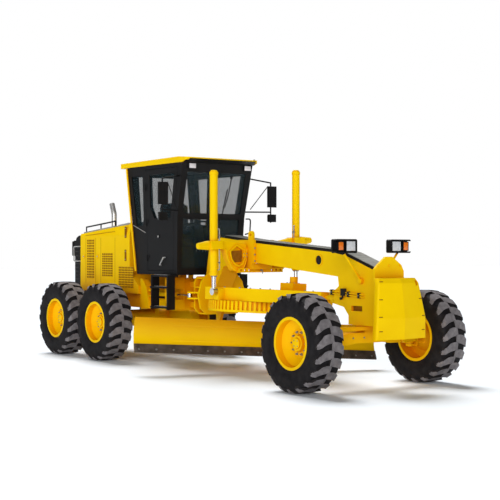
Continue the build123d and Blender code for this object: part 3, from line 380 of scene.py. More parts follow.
engine_paint = finish(
    "engine_castings", (0.03, 0.028, 0.026), (0.07, 0.062, 0.055), 9, 0.6, 0.15, 0.0006, 120)
put_on(engine_paint, "engine")
chrome = finish("chromed_rod", (0.72, 0.72, 0.74), (0.6, 0.6, 0.62), 30, 0.16, 0.05, 0.00002, 900, metal=1.0)
put_on(chrome, "lift_rod", "artic_rod", "blade_shift_rod")
worn_steel = finish(
    "worn_edge_steel", (0.07, 0.055, 0.045), (0.15, 0.12, 0.1), 8, 0.5, 0.15, 0.0003, 200, metal=0.4)
put_on(worn_steel, "cutting_edge")
silver = finish(
    "aluminised_pipe", (0.62, 0.62, 0.62), (0.45, 0.44, 0.43), 12, 0.4, 0.1, 0.0001, 300, metal=0.75)
put_on(silver, "exhaust")
glass = bpy.data.materials.new("tinted_glass")
tree = blank_tree(glass)
place = node_in(tree, "TexCoord")
haze = node_in(tree, "TexNoise", {"Scale": 5})
smear = node_in(tree, "MapRange", {"To Min": 0.04, "To Max": 0.14})
tint = node_in(tree, "ValToRGB")
tint.color_ramp.elements[0].color = (0.014, 0.03, 0.036, 1)
tint.color_ramp.elements[1].color = (0.028, 0.05, 0.058, 1)
shader = node_in(tree, "BsdfPrincipled", {"Alpha": 0.3, "Specular IOR Level": 0.3})
glass_out = node_in(tree, "OutputMaterial")
wire(tree, (place, "Object", haze, "Vector"), (haze, "Fac", smear, "Value"), (haze, "Fac", tint, "Fac"),
     (tint, "Color", shader, "Base Color"), (smear, "Result", shader, "Roughness"),
     (shader, 0, glass_out, "Surface"))
put_on(glass, "cab_glass", "door_glass")


# ---------- wheel nuts and hub caps
# Each yellow rim is held by ten zinc nuts on studs around a pressed hub cap with its own
# small screws, and a rubber valve stem stands in the dish.
bolt_steel = finish(
    "zinc_bolts", (0.35, 0.34, 0.32), (0.2, 0.19, 0.17), 40, 0.4, 0.12, 0.0001, 500, metal=0.6)
hose_rubber = finish(
    "hose_rubber", (0.012, 0.012, 0.012), (0.022, 0.021, 0.02), 25, 0.62, 0.12, 0.0004, 500, shine=0.15)


def turned_to(way):
    """Rotation that stands a part drawn along +Z along another direction."""
    return Vector((0, 0, 1)).rotation_difference(Vector(way).normalized()).to_matrix().to_4x4()


def around(count, radius, shift=0.0):
    """Even places round a circle; the shift is in shares of the gap between two of them."""
    for k in range(count):
        angle = math.tau * (k + shift) / count
        yield math.cos(angle) * radius, math.sin(angle) * radius


def drawn_rod(shape, start, end, radius, paint=0, sides=20, edge=0.003, end_radius=None):
    """Round bar between two points with its rims eased."""
    start, end = Vector(start), Vector(end)
    part = bmesh.new()
    bmesh.ops.create_cone(part, cap_ends=True, segments=sides, radius1=radius,
                          radius2=radius if end_radius is None else end_radius, depth=(end - start).length)
    rims = [e for e in part.edges if any(len(f.verts) > 4 for f in e.link_faces)]
    eased(part, rims, edge, steps=2)
    part.transform(Matrix.Translation((start + end) / 2) @ turned_to(end - start))
    join_in(shape, part, paint)


def drawn_nut(shape, foot, way, size, height, paint=0):
    """Hexagon head or nut on a round washer, standing on a surface."""
    part = bmesh.new()
    bmesh.ops.create_cone(part, cap_ends=True, segments=12, radius1=size * 1.25, radius2=size * 1.2,
                          depth=height * 0.5)
    head = bmesh.ops.create_cone(part, cap_ends=True, segments=6, radius1=size, radius2=size, depth=height)
    bmesh.ops.translate(part, vec=(0, 0, height * 0.5), verts=head["verts"])
    crown = [f for f in part.faces if len(f.verts) == 6 and f.normal.z > 0.9]
    eased(part, list({e for f in crown for e in f.edges}), size * 0.12)
    part.transform(Matrix.Translation(Vector(foot)) @ turned_to(way))
    join_in(shape, part, paint)


STUDS, STUD_CIRCLE = 10, 0.152
SCREWS, SCREW_CIRCLE = 4, 0.05
for wheel in WHEELS:
    shape = bmesh.new()
    for spot in around(STUDS, STUD_CIRCLE):
        drawn_nut(shape, (0.028, *spot), (1, 0, 0), 0.015, 0.018)
        drawn_rod(shape, (0.03, *spot), (0.062, *spot), 0.008, sides=8, edge=0.001)
    drawn_rod(shape, (0.078, 0, 0), (0.098, 0, 0), 0.078, paint=1, sides=32, edge=0.008, end_radius=0.07)
    for spot in around(SCREWS, SCREW_CIRCLE, shift=0.5):
        drawn_nut(shape, (0.097, *spot), (1, 0, 0), 0.007, 0.006)
    drawn_rod(shape, (0.05, 0.246, 0.1), (0.1, 0.26, 0.106), 0.007, paint=2, sides=10, edge=0.001)
    turn = Matrix.Rotation(math.pi, 4, "Z") if wheel.endswith("right") else Matrix.Identity(4)
    add_piece(f"hub_fittings_{wheel}", shape, f"wheel_{wheel}", "steel", bolt_steel, yellow_paint,
              hose_rubber, place=Matrix.Translation(wheel_middle(wheel)) @ turn)


# ---------- front axle fittings
# Four zinc bolts on washers stand in a row across the front face of the axle's middle, each
# with its foot on the axle's own surface.
def touches(solid, starts, way):
    """Each place where a line from one of the starts meets a solid, and how it faces there."""
    taken = bmesh.new()
    taken.from_mesh(nodes[solid].data)
    surface = BVHTree.FromBMesh(taken)
    taken.free()
    shift = Vector((0, DATUM_Y, 0))
    for start in starts:
        point, facing = surface.ray_cast(Vector(start) + shift, Vector(way).normalized())[:2]
        if point:
            yield point - shift, facing


def spots_on(solid, starts, way):
    """The same places by themselves."""
    return [spot for spot, facing in touches(solid, starts, way)]


def set_nuts(shape, solid, starts, way, size, height, paint=0, square=True):
    """A nut wherever lines from the starts meet a solid, square to it or else back along them."""
    for spot, facing in touches(solid, starts, way):
        drawn_nut(shape, spot, facing if square else -Vector(way), size, height, paint)


REARWARD, FORWARD, DOWN = (0, 1, 0), (0, -1, 0), (0, 0, -1)
AXLE_BOLT_Z = 0.70
shape = bmesh.new()
set_nuts(shape, "front_axle", [(x, -0.6, AXLE_BOLT_Z) for x in (-0.3, -0.1, 0.1, 0.3)], REARWARD,
         0.011, 0.01, square=False)
add_piece("axle_pin_covers", shape, "front_frame", "steel", bolt_steel)


# ---------- beam fittings
# The curved beam's round hole has a rolled rim and a black disc set in it on both sides. Two
# oil pipes in clamps run along the right flank of its nose, with a hose looped under their valve.
slot_brown = finish(
    "shaded_slots", (0.3, 0.12, 0.008), (0.2, 0.08, 0.006), 20, 0.7, 0.1, 0.0002, 300, shine=0.05)


def drawn_ring(shape, centre, way, inner, outer, thick, paint=0):
    """Flat ring with eased edges, spun round its axis."""
    part = bmesh.new()
    ease = min(thick, outer - inner) * 0.25
    corners = ((inner + ease, 0), (outer - ease, 0), (outer, ease), (outer, thick - ease),
               (outer - ease, thick), (inner + ease, thick), (inner, thick - ease), (inner, ease))
    points = [part.verts.new((radius, 0, z)) for radius, z in corners]
    for a, b in zip(points, points[1:] + points[:1]):
        part.edges.new((a, b))
    bmesh.ops.spin(part, geom=part.verts[:] + part.edges[:], cent=(0, 0, 0), axis=(0, 0, 1), angle=math.tau,
                   steps=40, use_merge=True)
    bmesh.ops.recalc_face_normals(part, faces=part.faces)
    part.transform(Matrix.Translation(Vector(centre)) @ turned_to(way))
    join_in(shape, part, paint)


def drawn_pipe(shape, points, radius, paint=0, bend=0.04):
    """Pipe along a route, each corner eased into a bend."""
    route = [Vector(p) for p in points]
    path = [route[0]]
    for before, corner, after in zip(route, route[1:], route[2:]):
        reach = min(bend, (corner - before).length * 0.45, (after - corner).length * 0.45)
        start = corner + (before - corner).normalized() * reach
        end = corner + (after - corner).normalized() * reach
        for t in (0, 0.25, 0.5, 0.75, 1):
            path.append(start * (1 - t) ** 2 + corner * 2 * t * (1 - t) + end * t ** 2)
    path.append(route[-1])
    line = bpy.data.curves.new("pipe_route", "CURVE")
    line.dimensions = "3D"
    line.bevel_depth = radius
    line.bevel_resolution = 1
    line.use_fill_caps = True
    spline = line.splines.new("POLY")
    spline.points.add(len(path) - 1)
    for spot, p in zip(spline.points, path):
        spot.co = (*p, 1)
    carrier = bpy.data.objects.new("pipe_route", line)
    part = bmesh.new()
    part.from_mesh(carrier.to_mesh())
    carrier.to_mesh_clear()
    bpy.data.objects.remove(carrier)
    bpy.data.curves.remove(line)
    bmesh.ops.remove_doubles(part, verts=part.verts, dist=0.0001)
    bmesh.ops.recalc_face_normals(part, faces=part.faces)
    join_in(shape, part, paint)


def drawn_box(shape, low, high, ease=0.004, paint=0, turn=None, steps=2):
    """Block with eased edges between two corners, then turned about its own middle."""
    low, high = Vector(low), Vector(high)
    size = high - low
    part = bmesh.new()
    bmesh.ops.create_cube(part, size=1)
    bmesh.ops.scale(part, vec=size, verts=part.verts)
    eased(part, part.edges[:], min(ease, min(size) * 0.4), steps)
    if turn is not None:
        part.transform(turn)
    part.transform(Matrix.Translation((low + high) / 2))
    join_in(shape, part, paint)


def box_round(shape, middle, half, **manner):
    """The same block, given by its middle and its half sizes."""
    middle, half = Vector(middle), Vector(half)
    drawn_box(shape, middle - half, middle + half, **manner)


HOLE_Y, HOLE_Z = 0.67, 1.765
PIPE_RADIUS, PIPE_DROP = 0.011, 0.032
shape = bmesh.new()
for side in (-1, 1):
    drawn_ring(shape, (side * 0.1595, HOLE_Y, HOLE_Z), (side, 0, 0), 0.066, 0.084, 0.012)
    drawn_rod(shape, (side * 0.12, HOLE_Y, HOLE_Z), (side * 0.164, HOLE_Y, HOLE_Z), 0.067, paint=1, sides=36,
              edge=0.012)
# a brown block fills the gap between the nose and the axle, painted shade in that opening
drawn_box(shape, (-0.12, -0.271, 1.061), (0.12, -0.039, 1.136), ease=0.002, paint=3)
for drop in (0, PIPE_DROP):
    drawn_pipe(shape, [(-0.15, 0.43, 1.333 - drop), (-0.176, 0.41, 1.332 - drop),
                       (-0.176, -0.30, 1.292 - drop), (-0.15, -0.33, 1.290 - drop)], PIPE_RADIUS)
for y, z in ((0.36, 1.329), (0.0, 1.309), (-0.22, 1.297)):
    drawn_box(shape, (-0.192, y - 0.02, z - 0.055), (-0.156, y + 0.02, z + 0.022), paint=1)
    drawn_nut(shape, (-0.191, y, z - 0.016), (-1, 0, 0), 0.008, 0.007, paint=2)
drawn_box(shape, (-0.21, 0.06, 1.27), (-0.158, 0.14, 1.37), ease=0.006, paint=1)
drawn_pipe(shape, [(-0.19, 0.1, 1.29), (-0.19, 0.12, 1.24), (-0.185, 0.16, 1.215), (-0.155, 0.2, 1.235)],
           0.014, paint=1)
# upright strips on both flanks just ahead of the cab
for y in (3.42, 3.6):
    for side in (-1, 1):
        box_round(shape, (side * 0.161, y, 1.45), (0.003, 0.012, 0.1), ease=0.002)
add_piece("beam_fittings", shape, "front_frame", "steel", yellow_paint, hose_rubber, bolt_steel, slot_brown)


# ---------- walkway strip
# A worn grey grip sheet lies on the beam's black walkway strip, cut to the strip's own top,
# with a row of low cross ribs pressed into it.
RIBS, FIRST_RIB_Y, RIB_PITCH = 48, -0.5, 0.075
SHEET_SHARE = 0.93  # of the strip's width
SHEET_THICK = 0.004
grip_sheet = finish("worn_grip_sheet", (0.27, 0.27, 0.25), (0.38, 0.38, 0.35), 10, 0.75, 0.12, 0.001, 220)
shape = bmesh.new()
shape.from_mesh(nodes["tread_strip"].data)
bmesh.ops.remove_doubles(shape, verts=shape.verts, dist=0.0001)
hidden = [f for f in shape.faces if f.normal.z < 0.8]
bmesh.ops.delete(shape, geom=hidden, context="FACES")
bmesh.ops.translate(shape, vec=(0, -DATUM_Y, 0.001), verts=shape.verts)
bmesh.ops.scale(shape, vec=(SHEET_SHARE, 1, 1), verts=shape.verts)
bmesh.ops.solidify(shape, geom=shape.faces[:], thickness=-SHEET_THICK)
rib_starts = [(0, FIRST_RIB_Y + k * RIB_PITCH, 3) for k in range(RIBS)]
for spot, facing in touches("tread_strip", rib_starts, DOWN):
    box_round(shape, spot + Vector((0, 0, 0.0045)), (0.12, 0.007, 0.0045), ease=0.002, steps=1,
              turn=Matrix.Rotation(math.atan2(facing.z, facing.y) - math.pi / 2, 4, "X"))
add_piece("strip_grip", shape, "front_frame", "dark", grip_sheet)


# ---------- push block
# The welded push block at the nose: short slots, their hollows painted brown as shade, where its
# wrapped face plate is plug welded down each rounded edge, and painted bolts across the peaked plate behind
# it.
SLOT_HALF = (0.028, 0.004, 0.006)
shape = bmesh.new()
for z in (0.83, 1.02, 1.25, 1.486):
    for side in (-1, 1):
        for spot, facing in touches("push_block", [(side * 1.2, -1.75, z)], (-side * 0.69, 0.72, 0)):
            across = facing.cross(Vector((0, 0, 1)))
            box_round(shape, spot, SLOT_HALF, paint=1, ease=0.002,
                      turn=Matrix.Rotation(math.atan2(across.y, across.x), 4, "Z"))
set_nuts(shape, "push_block", [(x, -1.4, 1.70) for x in (-0.2, 0.0, 0.2)], REARWARD, 0.013, 0.011)
add_piece("push_block_fittings", shape, "front_frame", "yellow", yellow_paint, slot_brown)


# ---------- headlamp glasses
# Each black lamp housing holds a clear ribbed glass and an amber turn light in black rims,
# and stands on a yellow painted stalk that ends in a round foot on the beam's flank.
SIDES = ((-1, "right"), (1, "left"))
GLASS_Y, RIB_Y, RIM_Y = -0.3395, -0.338, -0.337
RIM_GAP = 0.006  # from a glass's edge to the middle of its rim


def lens_finish(name, colour, second, rough):
    """Ribbed lamp glass, glossy and lightly pebbled."""
    return finish(name, colour, second, 30, rough, 0.06, 0.0004, 60, shine=0.5)


clear_lens = lens_finish("clear_lens", (0.62, 0.64, 0.66), (0.5, 0.52, 0.54), 0.16)
amber_lens = lens_finish("amber_lens", (0.8, 0.19, 0.01), (0.66, 0.13, 0.008), 0.2)
for side, name in SIDES:
    shape = bmesh.new()
    # each glass: its inner and outer end, foot and top, finish, number of ribs
    for x0, x1, z0, z1, paint, ribs in (
        (0.343, 0.497, 1.897, 2.027, 0, 6), (0.555, 0.637, 1.908, 2.016, 1, 3),
    ):
        drawn_box(shape, (x0, GLASS_Y, z0), (x1, -0.331, z1), ease=0.006, paint=paint)
        for k in range(ribs):
            x = x0 + (x1 - x0) * (k + 0.5) / ribs
            drawn_rod(shape, (x, RIB_Y, z0 + 0.012), (x, RIB_Y, z1 - 0.012), 0.003, paint=paint, sides=8,
                      edge=0.0008)
        left, right, foot, top = x0 - RIM_GAP, x1 + RIM_GAP, z0 - RIM_GAP, z1 + RIM_GAP
        for start, end in (((left, foot), (right, foot)), ((left, top), (right, top)),
                           ((left, foot), (left, top)), ((right, foot), (right, top))):
            drawn_rod(shape, (start[0], RIM_Y, start[1]), (end[0], RIM_Y, end[1]), 0.005, paint=2, sides=8,
                      edge=0.001)
    drawn_rod(shape, (0.488, -0.2697, 1.858), (0.18, -0.2622, 1.488), 0.0165, paint=3, sides=16, edge=0.002)
    drawn_rod(shape, (0.214, -0.262, 1.48), (0.156, -0.262, 1.48), 0.039, paint=3, sides=24, edge=0.006)
    add_piece(f"lamp_glass_{name}", shape, "front_frame", "lamp", clear_lens, amber_lens, dark_paint,
              yellow_paint, place=MIRROR_X if side < 0 else None)


# ---------- saddle and lift arms
# The lift arms' pivot pins show as yellow bolted covers front and back, bolts hold the saddle's
# face, and the lock pin has a bent handle. A bead follows each arm's edge round a recess whose shade is
# painted as a brown plate.
shape = bmesh.new()
for x in (-0.26, 0.26):
    for y, way in ((1.9, 1), (3.0, -1)):
        for spot in spots_on("lift_arms", [(x, y, 1.83)], (0, way, 0)):
            drawn_rod(shape, spot, spot + Vector((0, -way * 0.016, 0)), 0.05, paint=1, sides=28, edge=0.004)
            for right, up in around(4, 0.034, shift=0.5):
                drawn_nut(shape, spot + Vector((right, -way * 0.015, up)), (0, -way, 0), 0.008, 0.007)
set_nuts(shape, "lift_saddle", [(x, 2.0, z) for x in (-0.18, 0.18) for z in (1.74, 1.84, 1.94)],
         REARWARD, 0.012, 0.011, square=False)
drawn_rod(shape, (0.024, 2.31, 1.595), (0.024, 2.4, 1.595), 0.018, sides=16)
drawn_pipe(shape, [(0.024, 2.315, 1.595), (0.024, 2.295, 1.595), (0.024, 2.295, 1.54)], 0.007)
add_piece("saddle_fittings", shape, "front_frame", "steel", bolt_steel, yellow_paint)

ARM_ROLL = math.radians(-3.5)  # both arms are banked a little on the saddle
ARM_PIVOT_X, ARM_PIVOT_Z = 0.26, 1.905
# the bead's route along one arm, as (x, z) with the arms level
ARM_EDGE = ((0.62, 1.95), (0.592, 1.80), (0.575, 1.755), (0.49, 1.618), (0.4, 1.578), (0.31, 1.618),
            (0.24, 1.755), (0.238, 1.93))


def on_arm(side, x, y, z):
    """A place on one lift arm, drawn level for the left arm, once the arms are banked."""
    dx, dz = side * (x - ARM_PIVOT_X), z - ARM_PIVOT_Z
    return Vector((side * ARM_PIVOT_X + dx * math.cos(ARM_ROLL) + dz * math.sin(ARM_ROLL), y,
                   ARM_PIVOT_Z - dx * math.sin(ARM_ROLL) + dz * math.cos(ARM_ROLL)))


for side, name in SIDES:
    shape = bmesh.new()
    drawn_pipe(shape, [on_arm(side, x, 2.372, z) for x, z in ARM_EDGE], 0.013, bend=0.08)
    # brown plate: painted shade in the arm's recess
    box_round(shape, on_arm(side, 0.405, 2.4, 1.82), (0.1, 0.004, 0.09), paint=1,
              turn=Matrix.Rotation(ARM_ROLL, 4, "Y"))
    add_piece(f"arm_bead_{name}", shape, "front_frame", "yellow", yellow_paint, slot_brown)


# ---------- blade lift cylinders
# Yellow barrels with a bolted head and a rounded cap, a gland nut round the chromed rod, and
# a pale steel oil pipe clipped along each barrel.
CYLINDER_Y = 2.43
grey_metal = finish(
    "pale_grey_metal", (0.5, 0.5, 0.49), (0.36, 0.35, 0.34), 20, 0.45, 0.12, 0.0001, 400, metal=0.3)
# middle of the barrel, its foot and its top
for x, name, low_z, high_z in ((-0.806, "right", 1.517, 3.117), (0.792, "left", 1.583, 3.183)):
    inward = 1 if x < 0 else -1
    low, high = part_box(f"lift_barrel_{name}")
    radius = (high.y - low.y) / 2
    shape = bmesh.new()
    drawn_rod(shape, (x, CYLINDER_Y, high_z - 0.004), (x, CYLINDER_Y, high_z + 0.022), radius * 0.93,
              sides=32, edge=0.014, end_radius=radius * 0.8)
    # each ring: height of its foot, inner and outer radius, thickness, finish
    for z, inner, outer, thick, paint in (
        (high_z - 0.05, radius - 0.004, radius + 0.006, 0.04, 0),
        (low_z + 0.01, radius - 0.004, radius + 0.007, 0.05, 0),
        (low_z - 0.016, 0.037, radius - 0.012, 0.018, 2),
    ):
        drawn_ring(shape, (x, CYLINDER_Y, z), (0, 0, 1), inner, outer, thick, paint)
    for dx, dy in around(6, (radius - 0.012) * 0.86):
        drawn_nut(shape, (x + dx, CYLINDER_Y + dy, low_z - 0.001), DOWN, 0.005, 0.005, paint=2)
    port_x, pipe_x = x + inward * radius * 0.9, x + inward * (radius + 0.014)
    drawn_pipe(shape, [(port_x, 2.40, low_z + 0.72), (pipe_x, 2.39, low_z + 0.72),
                       (pipe_x, 2.39, low_z + 0.09), (port_x, 2.40, low_z + 0.09)], 0.010, paint=1, bend=0.02)
    for z in (low_z + 0.2, low_z + 0.62):
        box_round(shape, (pipe_x, 2.394, z), (0.012, 0.018, 0.012), paint=2)
    add_piece(f"lift_cylinder_trim_{name}", shape, f"lift_barrel_{name}", "steel", yellow_paint, grey_metal,
              bolt_steel)


# ---------- drawbar fittings
# Zinc bolts on the drawbar: four on each side of its frame, three along its neck, and a ring
# of eight on the gearbox, round the foot of the circle's drive motor.
MOTOR_Y = 1.485
shape = bmesh.new()
set_nuts(shape, "drawbar", [(x, y, 1.7) for x in (-0.55, -0.35, 0.35, 0.55) for y in (2.1, 2.8)], DOWN,
         0.014, 0.013)
set_nuts(shape, "drawbar", [(0, y, 1.7) for y in (0.62, 1.0, 1.2)], DOWN, 0.013, 0.012)
set_nuts(shape, "drawbar", [(x, MOTOR_Y + y, 1.7) for x, y in around(8, 0.095, shift=0.5)], DOWN,
         0.009, 0.008, square=False)
add_piece("drawbar_fittings", shape, "drawbar", "steel", bolt_steel)


# ---------- blade fittings
# The edge is bolted to the mouldboard with a row of countersunk plow bolts, an end bit covers
# each end of the edge, and rows of nuts at the back hold the clamps of the slide rails.
BALL_Z = 1.24  # the drawbar's ball, about which all is banked
BLADE_Y = 2.45
BLADE_BANK, BLADE_TURN, EDGE_LEAN = (math.radians(angle) for angle in (3.1, -22, -36.2))
PLOW_BOLTS, PLOW_PITCH = 15, 0.268
EDGE_MIDDLE_X = 0.045
bank = Matrix.Translation((0, 0, BALL_Z)) @ Matrix.Rotation(BLADE_BANK, 4, "Y") \
    @ Matrix.Translation((0, 0, -BALL_Z))
shape = bmesh.new()
for k in range(PLOW_BOLTS):
    x = EDGE_MIDDLE_X + (k - (PLOW_BOLTS - 1) / 2) * PLOW_PITCH
    drawn_nut(shape, (x, -0.1712, 0.3073), (0, -0.807, 0.591), 0.013, 0.007)
for side in (-1, 1):
    box_round(shape, (EDGE_MIDDLE_X + side * 1.92, -0.159, 0.326), (0.026, 0.0055, 0.068), paint=1,
              turn=Matrix.Rotation(EDGE_LEAN, 4, "X"))
for x in (-1.25, -0.45, 0.45, 1.25):
    for z in (0.43, 0.69):
        drawn_nut(shape, (x, 0.026, z), (0, 1, 0), 0.014, 0.012)
bmesh.ops.remove_doubles(shape, verts=shape.verts, dist=0.00001)
add_piece("blade_bolts", shape, "blade", "edge", bolt_steel, worn_steel,
          place=bank @ Matrix.Translation((0, BLADE_Y, 0)) @ Matrix.Rotation(BLADE_TURN, 4, "Z"))


# ---------- hood panels
# Pressed hood sides with three vent plates punched in rows of square holes whose floors are painted
# brown as shade, brown hatch hinges, latches, panel joints and a long pressed crease under the lid.
PANEL_X = 0.5535
VENT_DEPTH = 0.003


def drawn_vent(shape, x, y0, y1, z0, z1, across, up, dark):
    """Thin plate punched with a grid of square holes, whose floors have the dark finish as painted shade."""
    part = bmesh.new()
    bmesh.ops.create_grid(part, x_segments=across, y_segments=up, size=0.5)
    part.transform(Matrix.Diagonal((y1 - y0, z1 - z0, 1, 1)))
    cell = min((y1 - y0) / across, (z1 - z0) / up)
    holes = bmesh.ops.inset_individual(part, faces=part.faces[:], thickness=cell * 0.2, depth=0)
    rims = set(holes["faces"])
    middles = [f for f in part.faces if f not in rims]
    for face in middles:
        face.material_index = dark
    bmesh.ops.translate(part, vec=(0, 0, -VENT_DEPTH), verts=list({v for f in middles for v in f.verts}))
    stand = Matrix(((0, 0, 1, 0), (1, 0, 0, 0), (0, 1, 0, 0), (0, 0, 0, 1)))
    if x < 0:
        stand = MIRROR_X @ stand
    part.transform(Matrix.Translation((x, (y0 + y1) / 2, (z0 + z1) / 2)) @ stand)
    bmesh.ops.recalc_face_normals(part, faces=part.faces)
    if part.faces[0].normal.x * x < 0:
        bmesh.ops.reverse_faces(part, faces=part.faces)
    join_in(shape, part, None)


for side, name in SIDES:
    shape = bmesh.new()
    # each vent: its two ends along the hood, its foot and top, holes across and up
    for y0, y1, z0, z1, across, up in (
        (6.815, 7.104, 1.385, 2.115, 5, 15), (6.11, 6.51, 1.43, 1.86, 6, 10),
        (5.35, 5.887, 1.236, 1.62, 10, 9),
    ):
        drawn_vent(shape, side * PANEL_X, y0, y1, z0, z1, across, up, dark=2)
    for z in (2.23, 1.82):
        box_round(shape, (side * 0.552, 5.63, z), (0.006, 0.03, 0.1), ease=0.005, paint=2)
        for lift in (-0.07, 0.07):
            drawn_nut(shape, (side * 0.558, 5.63, z + lift), (side, 0, 0), 0.008, 0.006, paint=1)
    for y, z in ((7.218, 1.795), (6.673, 1.797)):
        box_round(shape, (side * 0.554, y, z), (0.008, 0.025, 0.035), ease=0.006)
        drawn_rod(shape, (side * 0.56, y, z), (side * 0.575, y, z), 0.012, paint=1, sides=12, edge=0.002)
    box_round(shape, (side * 0.551, 6.59, 2.2185), (0.004, 0.57, 0.003), ease=0.0015, paint=2,
              turn=Matrix.Rotation(math.radians(-3.2), 4, "X"))
    for y in (6.02, 6.56, 6.76, 7.15):
        box_round(shape, (side * 0.5505, y, 1.72), (0.002, 0.0025, 0.42), ease=0.0008, paint=2, steps=1)
    add_piece(f"hood_side_trim_{name}", shape, "rear_frame", "yellow", yellow_paint, grey_metal, slot_brown)


# ---------- hood top
# On the hood's lid: a round fuel cap on a raised neck, a black air intake of slats behind the
# cab, four zinc bolts, two lengths of grey grip sheet, and the bright exhaust stack's clamp.
ABOVE_HOOD = 3.2
FUEL_CAP, STACK_Y = (0.3, 6.7), 7.05
shape = bmesh.new()
for spot in spots_on("hood_top", [(*FUEL_CAP, ABOVE_HOOD)], DOWN):
    for low, high, radius, paint, edge in ((-0.01, 0.03, 0.06, 0, 0.006), (0.028, 0.055, 0.072, 1, 0.01)):
        drawn_rod(shape, spot + Vector((0, 0, low)), spot + Vector((0, 0, high)), radius, paint=paint,
                  sides=28, edge=edge)
for spot in spots_on("hood_top", [(0, y, ABOVE_HOOD) for y in (5.62, 5.7, 5.78, 5.86)], DOWN):
    box_round(shape, spot + Vector((0, 0, 0.006)), (0.3, 0.02, 0.01), paint=1)
set_nuts(shape, "hood_top", [(x, y, ABOVE_HOOD) for x in (-0.33, 0.33) for y in (6.2, 7.2)], DOWN,
         0.014, 0.014, paint=2)
for side in (-1, 1):
    for sheet_ends in ((6.12, 7.32), (5.6, 5.98)):
        front, back = spots_on("hood_top", [(side * 0.44, y, ABOVE_HOOD) for y in sheet_ends], DOWN)
        run = back - front
        box_round(shape, (front + back) / 2 + Vector((0, 0, 0.012)), (0.07, run.length / 2, 0.018),
                  ease=0.006, paint=3, turn=Matrix.Rotation(math.atan2(run.z, run.y), 4, "X"))
add_piece("hood_top_trim", shape, "rear_frame", "yellow", yellow_paint, dark_paint, bolt_steel, grip_sheet)

shape = bmesh.new()
for spot in spots_on("hood_top", [(0.12, STACK_Y, ABOVE_HOOD)], DOWN):
    drawn_ring(shape, (0, STACK_Y, spot.z - 0.002), (0, 0, 1), 0.048, 0.085, 0.014)
    drawn_ring(shape, (0, STACK_Y, spot.z + 0.06), (0, 0, 1), 0.049, 0.056, 0.03)
    drawn_box(shape, (0.05, STACK_Y - 0.01, spot.z + 0.058), (0.085, STACK_Y + 0.01, spot.z + 0.092))
    drawn_nut(shape, (0.07, STACK_Y + 0.01, spot.z + 0.075), (0, 1, 0), 0.008, 0.01, paint=1)
add_piece("exhaust_clamp", shape, "rear_frame", "steel", silver, bolt_steel)


# ---------- rear cowl
# The black cowl at the tail has slatted side vents, a pale grab rail on each side, two round
# red tail lamps in a black housing at each corner, and a slatted box over its fan.
SLATS, SLAT_PITCH = 9, 0.075
RAIL_FOOT_X, RAIL_X = 0.515, 0.556
red_lens = lens_finish("red_lens", (0.5, 0.01, 0.008), (0.38, 0.006, 0.005), 0.2)
shape = bmesh.new()
for side in (-1, 1):
    slat_starts = [(side * 1.2, 7.52, 1.36 + k * SLAT_PITCH) for k in range(SLATS)]
    for spot in spots_on("rear_cowl", slat_starts, (-side, 0, 0)):
        box_round(shape, spot, (0.006, 0.1, 0.008), ease=0.003,
                  turn=Matrix.Rotation(side * math.radians(25), 4, "Y"))
    drawn_pipe(shape, [(side * x, y, z) for x, y, z in (
        (RAIL_FOOT_X, 7.43, 1.985), (RAIL_X, 7.43, 1.985), (RAIL_X, 7.635, 1.98), (RAIL_X, 7.635, 1.705),
        (RAIL_X, 7.43, 1.705), (RAIL_FOOT_X, 7.43, 1.705))], 0.012, paint=1, bend=0.03)
    for spot in spots_on("rear_cowl", [(side * 0.42, 9, 1.52)], FORWARD):
        drawn_box(shape, spot + Vector((-0.05, -0.005, -0.07)), spot + Vector((0.05, 0.03, 0.07)), ease=0.01)
        for lift, radius in ((0.03, 0.032), (-0.035, 0.026)):
            drawn_rod(shape, spot + Vector((0, 0.028, lift)), spot + Vector((0, 0.042, lift)), radius,
                      paint=2, sides=24, edge=0.004)
drawn_box(shape, (-0.41, 7.93, 1.80), (0.41, 8.02, 2.09), ease=0.02)
for k in range(6):
    box_round(shape, (0, 8.024, 1.84 + k * 0.042), (0.36, 0.01, 0.006), ease=0.003)
add_piece("cowl_trim", shape, "rear_frame", "dark", dark_paint, grey_metal, red_lens)


# ---------- cab outside
# Black cab shell: white work lamps under the roof's brow, a yellow trim strip down each rear
# corner, a grab bar by the left pillar, a thin pale rod along each quarter window's slanted lower
# edge as a painted highlight on its gasket, and the front wiper.
white_lens = lens_finish("work_lamp_glass", (0.8, 0.76, 0.77), (0.66, 0.63, 0.64), 0.25)
shape = bmesh.new()
for spot in spots_on("cab_frame", [(x, 2.6, 3.285) for x in (-0.515, 0.585)], REARWARD):
    box_round(shape, spot + Vector((0, -0.01, 0)), (0.075, 0.02, 0.05), ease=0.012)
    box_round(shape, spot + Vector((0, -0.031, 0)), (0.062, 0.005, 0.038), ease=0.006, paint=1)
for side in (-1, 1):
    drawn_pipe(shape, [(side * 0.715, 5.30, 3.325), (side * 0.667, 5.068, 1.55)], 0.018, paint=2)
drawn_pipe(shape, [(0.69, 3.68, 2.44), (0.70, 3.56, 2.44), (0.70, 3.58, 2.20), (0.69, 3.70, 2.18)], 0.012,
           bend=0.05)
# pale rod on each side: a painted highlight along the quarter window's gasket
for side in (-1, 1):
    ends = spots_on("cab_frame", [(side * 1.5, 5.15, 2.345), (side * 1.5, 4.735, 2.21)], (-side, 0, 0))
    drawn_pipe(shape, ends, 0.007, paint=3)
add_piece("cab_outside_trim", shape, "rear_frame", "dark", dark_paint, white_lens, yellow_paint, grey_metal)

